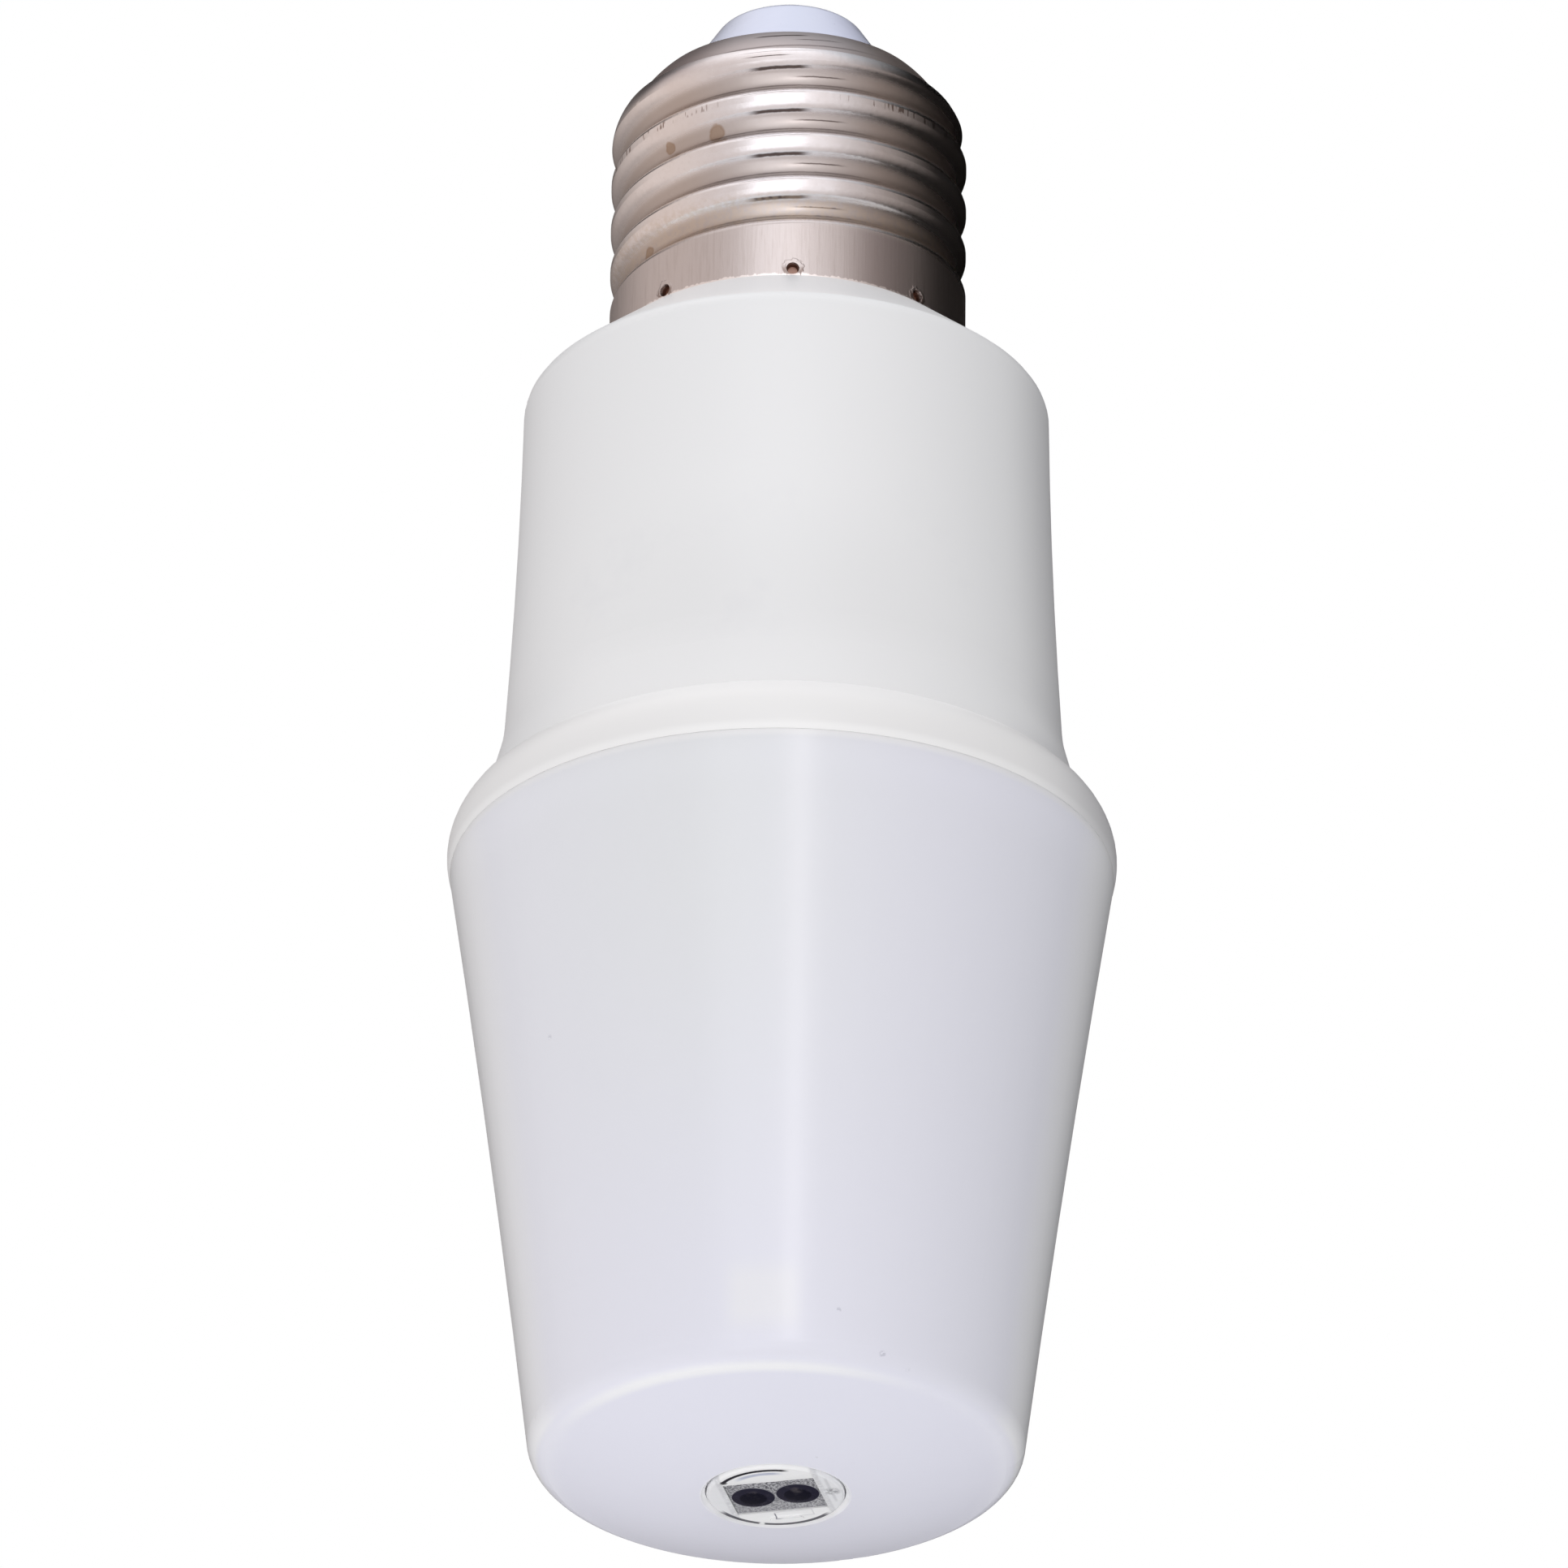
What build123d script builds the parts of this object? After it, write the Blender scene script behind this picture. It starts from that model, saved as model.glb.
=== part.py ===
from build123d import *
import math
import os

# A screw-cap LED bulb with a motion sensor in its tip, in millimetres.
# The origin is on the bulb's axis at the lower rim of the screw cap.
# +Z runs up to the centre contact, and the lamp hangs down towards -Z.
# The two optical elements of the sensor face down through the diffuser's end.

# Screw cap, rolled from thin sheet
thread_crest_radius = 13.1
thread_depth = 1.05
thread_pitch = 3.629
thread_turns = 3.6
thread_start_height = 4.8
thread_start_angle = 155.0
thread_crest_flat = 0.03
thread_run_out_radius = 30.0
cap_sheet = 0.3
bead_round = 4.15
bead_angle = 31.5
bead_drop = 0.65
crease_depth = 1.27
crease_rise = 2.55
band_run = 1.66
band_rise = 2.27
band_bulge = 0.12

# Punched stakes that hold the skirt to the housing
stake_count = 8
stake_radius = 0.5
stake_height = 0.68
stake_depth = 0.5
stake_taper = 0.15
stake_angle = 1.5

# Insulator and centre contact
insulator_gap = 0.1
insulator_flange_height = 1.6
insulator_neck_rise = 0.15
insulator_ledge = 1.35
insulator_cone_run = 3.3
insulator_cone_rise = 5.1
insulator_edge_round = 1.3
contact_edge_gap = 0.95
contact_recess = 0.3
contact_proud = 0.5
contact_edge_round = 0.4
contact_shank_radius = 1.4
contact_shank_reach = 0.8

# Housing, from the cap down to the seam with the diffuser
housing_wall = 1.6
seat_margin = 0.21
shoulder_slope = 38.5
shoulder_fillet = 1.4
neck_top_radius = 19.22
neck_length = 27.68
neck_taper = 1.15
neck_hollow = 0.19
flare_length = 5.3
flare_fillet = 12.0
ridge_reach = 3.92
ridge_round = 4.0
crease_angle = 67.7
seam_angle = 19.0
rim_wall = 1.84
ledge_rise = 2.4
spigot_gap = 0.15
spigot_wall = 1.65
spigot_drop = 2.3
collar_height = 2.4
fit_gap = 0.07

# Guide ribs for the driver board, inside the neck
rib_thickness = 1.2
rib_grip = 2.2
rib_length = 13.0
rib_drop = 2.5

# Diffuser
seam_gap = 0.02
diffuser_length = 46.52
diffuser_taper = 6.37
diffuser_hollow = 0.19
diffuser_dome = 3.1
diffuser_wall = 1.3
diffuser_corner = 2.0
diffuser_lip_wall = 1.25
diffuser_lip_drop = 1.6
snap_bead = 0.25
snap_bead_half = 0.35

# Heat sink and light board
sink_thickness = 1.0
sink_hole_margin = 1.2
sink_skirt_gap = 0.45
sink_skirt_height = 6.4
sink_rim_gap = 0.15
led_board_thickness = 1.0
led_board_gap = 0.35
led_board_hole_gap = 0.4
led_count = 12
led_edge_margin = 3.8
led_length = 3.5
led_width = 2.8
led_height = 0.75

# Driver board
board_thickness = 1.6
board_slot_gap = 0.06
board_edge_gap = 0.5
board_foot_gap = 2.2
board_step_gap = 1.6
board_cap_gap = 1.3
board_top_drop = 2.6

# Wires
wire_radius = 0.5
wire_hole_gap = 0.15
wire_touch_gap = 0.03
led_lead_margin = 0.4
lead_overlap = 3.0
solder_stub = 0.5
sensor_wire_radius = 0.4
sensor_wire_spacing = 1.5
neutral_wire_radius = 0.3
neutral_wire_bend = 1.4
neutral_wire_rise = 0.65
neutral_wire_inset = 0.7

# Sensor at the tip
sensor_turn = -13.2
window_radius = 4.95
window_hole_gap = 0.1
window_hole_bevel = 0.3
window_sink = 0.23
window_flange = 1.15
window_flange_thickness = 0.85
window_edge_round = 0.25
window_tab_length = 2.4
window_tab_width = 0.7
window_tab_height = 0.12
plate_end_margin = 0.085
plate_width = 4.85
plate_thickness = 0.8
plate_recess = 0.47
plate_gap = 0.04
optic_radius = 1.56
optic_web = 0.14
optic_dome = 0.3
optic_rim_sink = 0.05
optic_gap = 0.02
sensor_board_thickness = 1.0
sensor_chip_length = 3.6
sensor_chip_width = 2.0
sensor_chip_height = 0.9
sensor_chip_offset = 1.7
holder_gap = 0.12
holder_wall = 0.9
holder_floor = 1.2
holder_socket_length = 4.5
stalk_bore_radius = 3.4
stalk_wall = 0.8
stalk_socket_gap = 0.05
stalk_foot_thickness = 1.5

# Screws through the stalk's foot, the light board and the heat sink
screw_radius = 1.25
screw_hole_gap = 0.03
screw_head_radius = 2.2
screw_head_height = 1.3
screw_head_margin = 0.4
screw_length = 5.0
screw_slot_width = 0.6
screw_slot_depth = 0.5

# Parts on the driver board, placed by gaps from its edges and ends
part_edge_gap = 0.6
bulk_capacitor_radius = 5.0
bulk_capacitor_length = 16.0
bulk_capacitor_lift = 4.4
output_capacitor_radius = 4.0
output_capacitor_length = 11.0
output_capacitor_lift = 3.0
transformer_width = 13.0
transformer_height = 12.5
transformer_depth = 6.0
transformer_yoke = 2.4
transformer_lift = 2.6
coil_wall = 0.5
coil_swell = 1.8
coil_gap = 0.1
film_capacitor_size = (10.0, 5.0, 8.0)
film_capacitor_lift = 1.2
rectifier_size = (4.7, 2.5, 4.0)
rectifier_lift = 17.9
chip_size = (4.9, 1.5, 3.9)
chip_lift = 8.4
chip_leg_size = (0.4, 0.25, 1.0)
chip_leg_pitch = 1.27
chip_legs_a_side = 4
fuse_radius = 1.8
fuse_length = 8.5
fuse_lead_radius = 0.3
fuse_lead_length = 2.2
fuse_drop = 5.8

# Cap, worked out from the sizes above
crest_radius = thread_crest_radius - thread_crest_flat
thread_arc = (thread_pitch ** 2 / 4 + thread_depth ** 2) / (4 * thread_depth)
bead_height = thread_start_height + thread_turns * thread_pitch - bead_drop
crease_radius = crest_radius - crease_depth
crease_height = bead_height + crease_rise
lip_radius = crease_radius - band_run
lip_height = crease_height + band_rise
band_slope = math.atan2(band_rise, band_run)
lip_hole_radius = lip_radius - cap_sheet * math.sin(band_slope)
insulator_neck_radius = lip_hole_radius - insulator_gap
insulator_base_height = lip_height + insulator_neck_rise
insulator_cone_radius = insulator_neck_radius - insulator_ledge
insulator_top_radius = insulator_cone_radius - insulator_cone_run
insulator_top_height = insulator_base_height + insulator_cone_rise
contact_radius = insulator_top_radius - contact_edge_gap
contact_seat_height = insulator_top_height - contact_recess

# Housing: radii and heights, from the cap's rim at height 0 downwards
seat_radius = crest_radius + seat_margin
collar_radius = crest_radius - cap_sheet - fit_gap
spigot_radius = thread_crest_radius - thread_depth - cap_sheet - spigot_gap
spigot_bore_radius = spigot_radius - spigot_wall
neck_top_height = -(neck_top_radius - seat_radius) * math.tan(math.radians(shoulder_slope))
neck_foot_radius = neck_top_radius + neck_taper
neck_foot_height = neck_top_height - neck_length
neck_bore_radius = neck_top_radius - housing_wall
ridge_radius = neck_foot_radius + ridge_reach
neck_crease_height = neck_foot_height - flare_length
neck_crease_radius = ridge_radius - ridge_round * (1 - math.cos(math.radians(crease_angle)))
ridge_height = neck_crease_height - ridge_round * math.sin(math.radians(crease_angle))
seam_height = ridge_height - ridge_round * math.sin(math.radians(seam_angle))
seam_radius = ridge_radius - ridge_round * (1 - math.cos(math.radians(seam_angle)))
ledge_height = ridge_height + ledge_rise
bore_radius = ridge_radius - rim_wall

# Diffuser, and the sensor stacked behind its end
diffuser_top_height = seam_height - seam_gap
diffuser_foot_radius = seam_radius - diffuser_taper
diffuser_foot_height = diffuser_top_height - diffuser_length
diffuser_lip_radius = bore_radius - fit_gap
diffuser_lip_bore_radius = diffuser_lip_radius - diffuser_lip_wall
sensor_face_height = diffuser_foot_height - diffuser_dome
plate_front_height = sensor_face_height + window_sink + plate_recess
optic_spacing = 2 * optic_radius + optic_web
plate_length = optic_spacing + 2 * (optic_radius + plate_end_margin)
window_seat_height = sensor_face_height + diffuser_wall
window_back_height = window_seat_height + window_flange_thickness
sensor_back_height = window_back_height + sensor_board_thickness
holder_floor_height = sensor_back_height + fit_gap
stalk_tip_height = holder_floor_height + holder_floor

# Heat sink, light board and what is screwed to them
sink_face_height = ledge_height - sink_thickness
sink_crest_radius = neck_foot_radius - housing_wall - sink_skirt_gap
light_face_height = sink_face_height - led_board_thickness
led_board_radius = diffuser_lip_bore_radius - led_board_gap
led_ring_radius = led_board_radius - led_edge_margin - led_width / 2
stalk_radius = stalk_bore_radius + stalk_wall
screw_ring_radius = stalk_radius + screw_head_margin + screw_head_radius
stalk_foot_radius = screw_ring_radius + screw_head_radius + screw_head_margin
led_lead_ring = stalk_foot_radius + led_lead_margin + wire_radius
led_board_hole_radius = stalk_bore_radius + led_board_hole_gap
sink_hole_radius = stalk_radius + sink_hole_margin

# Driver board
board_face = board_thickness / 2
board_half_width = neck_bore_radius - board_edge_gap
board_cap_half_width = spigot_bore_radius - board_cap_gap
board_foot_height = ledge_height + sink_skirt_height + board_foot_gap
board_step_height = neck_top_height - board_step_gap
part_limit = board_half_width - rib_grip - part_edge_gap


def turn(outline):
    """Revolve an outline drawn as (radius, height) about the bulb's axis."""
    return revolve(Plane.XZ * outline, Axis.Z)


def ring(inner, outer, low, high):
    """Plain ring or disc between two radii and two heights."""
    solid = Pos(0, 0, low) * Cylinder(outer, high - low, align=(Align.CENTER, Align.CENTER, Align.MIN))
    if inner > 0:
        solid -= Pos(0, 0, low) * Cylinder(inner, high - low, align=(Align.CENTER, Align.CENTER, Align.MIN))
    return solid


def block(x0, x1, y0, y1, z0, z1):
    """Box between two corners."""
    return Pos((x0 + x1) / 2, (y0 + y1) / 2, (z0 + z1) / 2) * Box(x1 - x0, y1 - y0, z1 - z0)


def rounded(outline, corner, radius):
    """Round the corner of an outline that lies nearest to the given point."""
    return fillet(outline.vertices().sort_by_distance(corner)[0], radius)


def bowed(start, end, hollow):
    """Arc between two points that bows by a hollow towards the axis."""
    middle = ((start[0] + end[0]) / 2 - hollow, (start[1] + end[1]) / 2)
    return ThreePointArc(start, middle, end)


def domed(edge, tip):
    """Part of a circle centred on the axis, from an outer edge to its tip on the axis."""
    rise = tip[1] - edge[1]
    curve = (edge[0] ** 2 + rise ** 2) / (2 * rise)
    half = edge[0] / 2
    drop = abs(curve) - math.sqrt(curve ** 2 - half ** 2)
    return ThreePointArc(edge, (half, tip[1] - math.copysign(drop, rise)), tip)


def arc_point(centre, radius, degrees):
    """Point on a circle at an angle."""
    angle = math.radians(degrees)
    return (centre[0] + radius * math.cos(angle), centre[1] + radius * math.sin(angle))


def round_arc(centre, radius, start, end):
    """Arc of a circle between two angles in degrees."""
    points = [arc_point(centre, radius, degrees) for degrees in (start, (start + end) / 2, end)]
    return ThreePointArc(*points)


# Screw cap


def thread_section(inset):
    """Section of the rolled groove, with its face inset into the sheet."""
    turn_angle = math.degrees(math.asin(thread_pitch / (4 * thread_arc)))
    root_centre = (thread_crest_radius - thread_depth + thread_arc, 0)
    root_round = thread_arc + inset
    crest_round = thread_arc - inset
    crest_centre = (thread_crest_radius - thread_arc, thread_pitch / 2)
    edge_angle = math.degrees(math.acos(1 - thread_crest_flat / crest_round))
    low_centre = (crest_centre[0], -crest_centre[1])
    root = round_arc(root_centre, root_round, 180 + turn_angle, 180 - turn_angle)
    high = round_arc(crest_centre, crest_round, -turn_angle, -edge_angle)
    low = round_arc(low_centre, crest_round, edge_angle, turn_angle)
    reach = thread_crest_radius + 1.0
    mouth = Polyline(high @ 1, (reach, (high @ 1).Y), (reach, (low @ 0).Y), low @ 0)
    return Plane.XZ * make_face(root + high + mouth + low)


def run_out(section, side):
    """Stretch that lets the groove rise out of the sheet along a flatter arc."""
    offset = thread_run_out_radius - thread_crest_radius
    clear = thread_crest_radius + thread_depth + thread_crest_flat
    angle = math.acos((offset ** 2 + thread_run_out_radius ** 2 - clear ** 2)
                      / (2 * offset * thread_run_out_radius))
    axis = Axis((-offset, 0, 0), (0, 0, side))
    return revolve(section, axis, revolution_arc=math.degrees(angle))


def thread_groove(inset):
    """The helical groove with a run-out at each end."""
    section = thread_section(inset)
    rise = thread_turns * thread_pitch
    path = Helix(thread_pitch, rise, thread_crest_radius)
    groove = sweep(section, path=path, is_frenet=True)
    first = run_out(section, -1)
    last = Pos(0, 0, rise) * Rot(0, 0, 360 * thread_turns) * run_out(section, 1)
    return Pos(0, 0, thread_start_height) * Rot(0, 0, thread_start_angle) * (groove + first + last)


def band_point(corner, inset):
    """A corner of the conical band at the shell's mouth, moved square to the band into the sheet."""
    return (corner[0] - inset * math.sin(band_slope), corner[1] - inset * math.cos(band_slope))


def cap_blank(inset, low):
    """The cap before its thread is rolled, inset by the sheet for the inside."""
    bead = round_arc((crest_radius - bead_round, bead_height), bead_round - inset, 0, bead_angle)
    crease = band_point((crease_radius, crease_height), inset)
    lip = band_point((lip_radius, lip_height), inset)
    middle = band_point(((crease[0] + lip[0]) / 2, (crease[1] + lip[1]) / 2), -band_bulge)
    side = Polyline((0, low), (crest_radius - inset, low), bead @ 0)
    ledge = Line(bead @ 1, crease)
    band = ThreePointArc(crease, middle, lip)
    top = Polyline(lip, (0, lip[1]), (0, low))
    return turn(make_face(side + bead + ledge + band + top))


def stakes(radius, taper, outer, depth):
    """Ring of tapered punch marks that point at the axis."""
    mark = Pos(outer - depth, 0, stake_height) * Rot(0, 90, 0) * Cone(
        radius - taper, radius, depth, align=(Align.CENTER, Align.CENTER, Align.MIN))
    step = 360 / stake_count
    return [Rot(0, 0, -90 + stake_angle + index * step) * mark for index in range(stake_count)]


def make_cap_shell():
    outside = cap_blank(0, 0) - thread_groove(0)
    inside = cap_blank(cap_sheet, -1) - thread_groove(cap_sheet)
    mouth = ring(0, lip_hole_radius, lip_height - cap_sheet, lip_height + 1)
    shell = outside - inside - mouth
    bumps = stakes(stake_radius + stake_taper, stake_taper, crest_radius - cap_sheet / 2,
                   stake_depth + cap_sheet / 2)
    dents = stakes(stake_radius, stake_taper, crest_radius + fit_gap, stake_depth + fit_gap)
    return shell + bumps - dents


def insulator_shoulder():
    """Ends of the slope with which the insulator bears up against the band."""
    low = band_point((crease_radius, crease_height), cap_sheet + insulator_gap)
    return (low, (insulator_neck_radius, low[1] + (low[0] - insulator_neck_radius) * band_rise / band_run))


def insulator_foot():
    """Height of the insulator's underside inside the cap."""
    return insulator_shoulder()[0][1] - insulator_flange_height


def spigot_top():
    """Height of the housing's spigot, which ends below the insulator."""
    return insulator_foot() - spigot_drop


def board_top():
    """Height of the driver board's upper end inside the spigot."""
    return spigot_top() - board_top_drop


def make_cap_insulator():
    low, high = insulator_shoulder()
    foot = insulator_foot()
    top = (insulator_top_radius, insulator_top_height)
    outline = make_face(Polyline(
        (0, foot), (low[0], foot), low, high, (insulator_neck_radius, insulator_base_height),
        (insulator_cone_radius, insulator_base_height), top, (0, insulator_top_height), (0, foot)))
    body = turn(rounded(outline, top, insulator_edge_round))
    recess = ring(0, contact_radius + insulator_gap, contact_seat_height, insulator_top_height + 1)
    hole = ring(0, contact_shank_radius + fit_gap, foot - 1, contact_seat_height + 1)
    return body - recess - hole


def make_centre_contact():
    """Flat rivet head with a rounded rim, and its shank down through the insulator."""
    top = insulator_top_height + contact_proud
    foot = insulator_foot() - contact_shank_reach
    outline = make_face(Polyline((0, top), (0, foot), (contact_shank_radius, foot),
                                 (contact_shank_radius, contact_seat_height),
                                 (contact_radius, contact_seat_height), (contact_radius, top), (0, top)))
    return turn(rounded(outline, (contact_radius, top), contact_edge_round))


# Housing


def housing_outline():
    """Outer outline from the spigot's top down to the seam."""
    top = spigot_top()
    neck_top = (neck_top_radius, neck_top_height)
    neck_foot = (neck_foot_radius, neck_foot_height)
    ridge = round_arc((ridge_radius - ridge_round, ridge_height), ridge_round, crease_angle, -seam_angle)
    spigot = Polyline((0, top), (spigot_radius, top), (spigot_radius, collar_height),
                      (collar_radius, collar_height), (collar_radius, 0), (seat_radius, 0), neck_top)
    neck = bowed(neck_top, neck_foot, neck_hollow)
    flare = Line(neck_foot, ridge @ 0)
    base = Polyline(ridge @ 1, (0, seam_height), (0, top))
    outline = make_face(spigot + neck + flare + ridge + base)
    outline = rounded(outline, neck_top, shoulder_fillet)
    outline = rounded(outline, neck_foot, flare_fillet)
    return rounded(outline, (spigot_radius, top), spigot_wall / 4)


def housing_hollow():
    """Inner outline, one wall inside the outer one, with the bore for the diffuser's lip."""
    slope = math.tan(math.radians(shoulder_slope))
    drop = housing_wall / math.cos(math.radians(shoulder_slope))
    above = spigot_top() + 1
    below = seam_height - 1
    cone_top = (spigot_bore_radius, (seat_radius - spigot_bore_radius) * slope - drop)
    neck_top = (neck_bore_radius, (seat_radius - neck_bore_radius) * slope - drop)
    neck_foot = (neck_foot_radius - housing_wall, neck_foot_height)
    crease = (neck_crease_radius - housing_wall, neck_crease_height)
    spigot = Polyline((0, above), (spigot_bore_radius, above), cone_top, neck_top)
    neck = bowed(neck_top, neck_foot, neck_hollow)
    base = Polyline(neck_foot, crease, (crease[0], ledge_height), (bore_radius, ledge_height),
                    (bore_radius, below), (0, below), (0, above))
    return rounded(make_face(spigot + neck + base), neck_top, shoulder_fillet)


def board_ribs():
    """Two pairs of ribs that grip the long edges of the driver board."""
    inner = board_half_width - rib_grip
    outer = neck_bore_radius + housing_wall / 2
    top = neck_top_height - rib_drop
    near = board_face + board_slot_gap
    ribs = []
    for side in (-1, 1):
        for face in (-1, 1):
            xs = sorted((side * inner, side * outer))
            ys = sorted((face * near, face * (near + rib_thickness)))
            ribs.append(block(*xs, *ys, top - rib_length, top))
    return ribs


def make_housing():
    body = turn(housing_outline()) - turn(housing_hollow())
    groove = ring(bore_radius - diffuser_lip_wall, bore_radius + snap_bead,
                  ridge_height - snap_bead_half - fit_gap, ridge_height + snap_bead_half + fit_gap)
    pockets = stakes(stake_radius + stake_taper + fit_gap, stake_taper, crest_radius - cap_sheet,
                     stake_depth + 2 * fit_gap)
    return body + board_ribs() - groove - pockets


# Diffuser


def dome_height(radius, inset):
    """Height of the diffuser's domed end, outside or one wall inside."""
    curve = (diffuser_foot_radius ** 2 + diffuser_dome ** 2) / (2 * diffuser_dome)
    return sensor_face_height + curve - math.sqrt((curve - inset) ** 2 - radius ** 2)


def make_diffuser():
    top = diffuser_top_height
    head = (seam_radius, top)
    foot = (diffuser_foot_radius, diffuser_foot_height)
    side = bowed(head, foot, diffuser_hollow)
    end = domed(foot, (0, sensor_face_height))
    cap = Polyline((0, sensor_face_height), (0, sink_face_height), (diffuser_lip_radius, sink_face_height),
                   (diffuser_lip_radius, top), head)
    outside = rounded(make_face(side + end + cap), foot, diffuser_corner)
    hollow_foot_radius = diffuser_foot_radius - diffuser_wall
    hollow_foot = (hollow_foot_radius, dome_height(hollow_foot_radius, diffuser_wall))
    lip_foot = (diffuser_lip_bore_radius, top - diffuser_lip_drop)
    flare = seam_radius - diffuser_wall - diffuser_lip_bore_radius
    hollow_head = (diffuser_lip_bore_radius + flare * 0.85, lip_foot[1] - flare)
    wall = bowed(hollow_head, hollow_foot, diffuser_hollow)
    floor = domed(hollow_foot, (0, window_seat_height))
    above = sink_face_height + 1
    mouth = Polyline((0, window_seat_height), (0, above), (diffuser_lip_bore_radius, above),
                     lip_foot, hollow_head)
    inside = rounded(make_face(wall + floor + mouth), hollow_foot, diffuser_corner - diffuser_wall / 2)
    hole_radius = window_radius + window_hole_gap
    mouth_radius = hole_radius + window_hole_bevel
    mouth_height = dome_height(mouth_radius, 0)
    hole = ring(0, hole_radius, sensor_face_height - 1, window_seat_height + 1)
    hole += ring(0, mouth_radius, sensor_face_height - 1, mouth_height)
    hole += Pos(0, 0, mouth_height + window_hole_bevel / 2) * Cone(
        mouth_radius, hole_radius, window_hole_bevel)
    land = ring(0, window_radius + window_flange + holder_gap, window_seat_height, window_seat_height + 1)
    bead = ring(diffuser_lip_radius - diffuser_lip_wall / 2, diffuser_lip_radius + snap_bead,
                ridge_height - snap_bead_half, ridge_height + snap_bead_half)
    bead = chamfer(bead.edges().filter_by(GeomType.CIRCLE).group_by(SortBy.RADIUS)[-1], snap_bead)
    return turn(outside) + bead - turn(inside) - hole - land


# Heat sink and light board


def spread(solid, count, radius):
    """Copies of a solid evenly round the axis, the first on +Y."""
    return [Rot(0, 0, index * 360 / count) * Pos(0, radius, 0) * solid for index in range(count)]


def lead_line(radius):
    """How far a wire's centre lies from the board's middle plane."""
    return board_face + radius + wire_touch_gap


def led_lead_pair(solid):
    """A copy of the solid at each of the two leads to the light board."""
    return [Pos(side * led_lead_ring, lead_line(wire_radius), 0) * solid for side in (-1, 1)]


def make_heat_sink():
    low = sink_face_height
    dish = ring(sink_hole_radius, bore_radius - sink_rim_gap, low, ledge_height)
    dish += ring(sink_crest_radius - sink_thickness, sink_crest_radius, low, ledge_height + sink_skirt_height)
    dish -= spread(ring(0, screw_radius + screw_hole_gap, low - 1, ledge_height + 1), 2, screw_ring_radius)
    return dish - led_lead_pair(ring(0, wire_radius + 3 * wire_hole_gap, low - 1, ledge_height + 1))


def make_led_board():
    low = light_face_height
    board = ring(led_board_hole_radius, led_board_radius, low, sink_face_height)
    board -= spread(ring(0, screw_radius + screw_hole_gap, low - 1, sink_face_height + 1),
                    2, screw_ring_radius)
    return board - led_lead_pair(ring(0, wire_radius + wire_hole_gap, low - 1, sink_face_height + 1))


def make_led_chips():
    chip = Pos(0, 0, light_face_height - led_height / 2) * Box(led_length, led_width, led_height)
    half_step = Rot(0, 0, 180 / led_count)
    return Compound([half_step * copy for copy in spread(chip, led_count, led_ring_radius)])


def make_board_screws():
    seat = light_face_height - stalk_foot_thickness
    foot = seat - screw_head_height
    head = ring(0, screw_head_radius, foot, seat)
    head = fillet(head.edges().filter_by(GeomType.CIRCLE).sort_by(Axis.Z)[0], screw_head_height / 3)
    shank = ring(0, screw_radius, seat, seat + screw_length)
    arm = screw_head_radius * 0.6
    half = screw_slot_width / 2
    slots = [block(-arm, arm, -half, half, foot - 1, foot + screw_slot_depth),
             block(-half, half, -arm, arm, foot - 1, foot + screw_slot_depth)]
    return Compound(spread(head + shank - slots, 2, screw_ring_radius))


def make_led_leads():
    return Compound(led_lead_pair(ring(0, wire_radius, light_face_height - solder_stub,
                                       board_foot_height + lead_overlap)))


# Sensor at the tip


def sensor_placed(solid):
    """Turn a piece of the sensor to the angle at which it sits in the tip."""
    return Rot(0, 0, sensor_turn) * solid


def make_sensor_window():
    front = sensor_face_height + window_sink
    body = ring(0, window_radius, front, window_seat_height)
    body = fillet(body.edges().filter_by(GeomType.CIRCLE).sort_by(Axis.Z)[0], window_edge_round)
    body += ring(0, window_radius + window_flange, window_seat_height, window_back_height)
    half_length = plate_length / 2 + plate_gap
    half_width = plate_width / 2 + plate_gap
    opening = block(-half_length, half_length, -half_width, half_width, front - 1, window_back_height + 1)
    tab_middle = (half_width + window_radius) / 2
    tab = block(-window_tab_length / 2, window_tab_length / 2, tab_middle - window_tab_width / 2,
                tab_middle + window_tab_width / 2, front - window_tab_height, front + window_tab_height)
    tab = fillet(tab.edges().filter_by(Axis.Z), window_tab_width * 0.45)
    return sensor_placed(body - opening + tab)


def make_sensor_plate():
    half_length = plate_length / 2
    half_width = plate_width / 2
    plate = block(-half_length, half_length, -half_width, half_width,
                  plate_front_height, plate_front_height + plate_thickness)
    for side in (-1, 1):
        plate -= Pos(side * optic_spacing / 2, 0, 0) * ring(
            0, optic_radius + optic_gap, plate_front_height - 1, plate_front_height + plate_thickness + 1)
    return sensor_placed(plate)


def make_optic(side):
    """Black domed optical element that stands on the sensor board."""
    edge = plate_front_height + optic_rim_sink
    tip = edge - optic_dome
    dome = domed((optic_radius, edge), (0, tip))
    rest = Polyline((0, tip), (0, window_back_height), (optic_radius, window_back_height),
                    (optic_radius, edge))
    return sensor_placed(Pos(side * optic_spacing / 2, 0, 0) * turn(make_face(dome + rest)))


def make_sensor_board():
    board = ring(0, window_radius + window_flange, window_back_height, sensor_back_height)
    for index in (-1, 0, 1):
        board -= Pos(index * sensor_wire_spacing, -lead_line(sensor_wire_radius), 0) * ring(
            0, sensor_wire_radius + wire_hole_gap / 3, window_back_height - 1, sensor_back_height + 1)
    return board


def make_sensor_chip():
    middle = sensor_chip_offset
    return block(-sensor_chip_length / 2, sensor_chip_length / 2, middle - sensor_chip_width / 2,
                 middle + sensor_chip_width / 2, sensor_back_height, sensor_back_height + sensor_chip_height)


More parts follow.
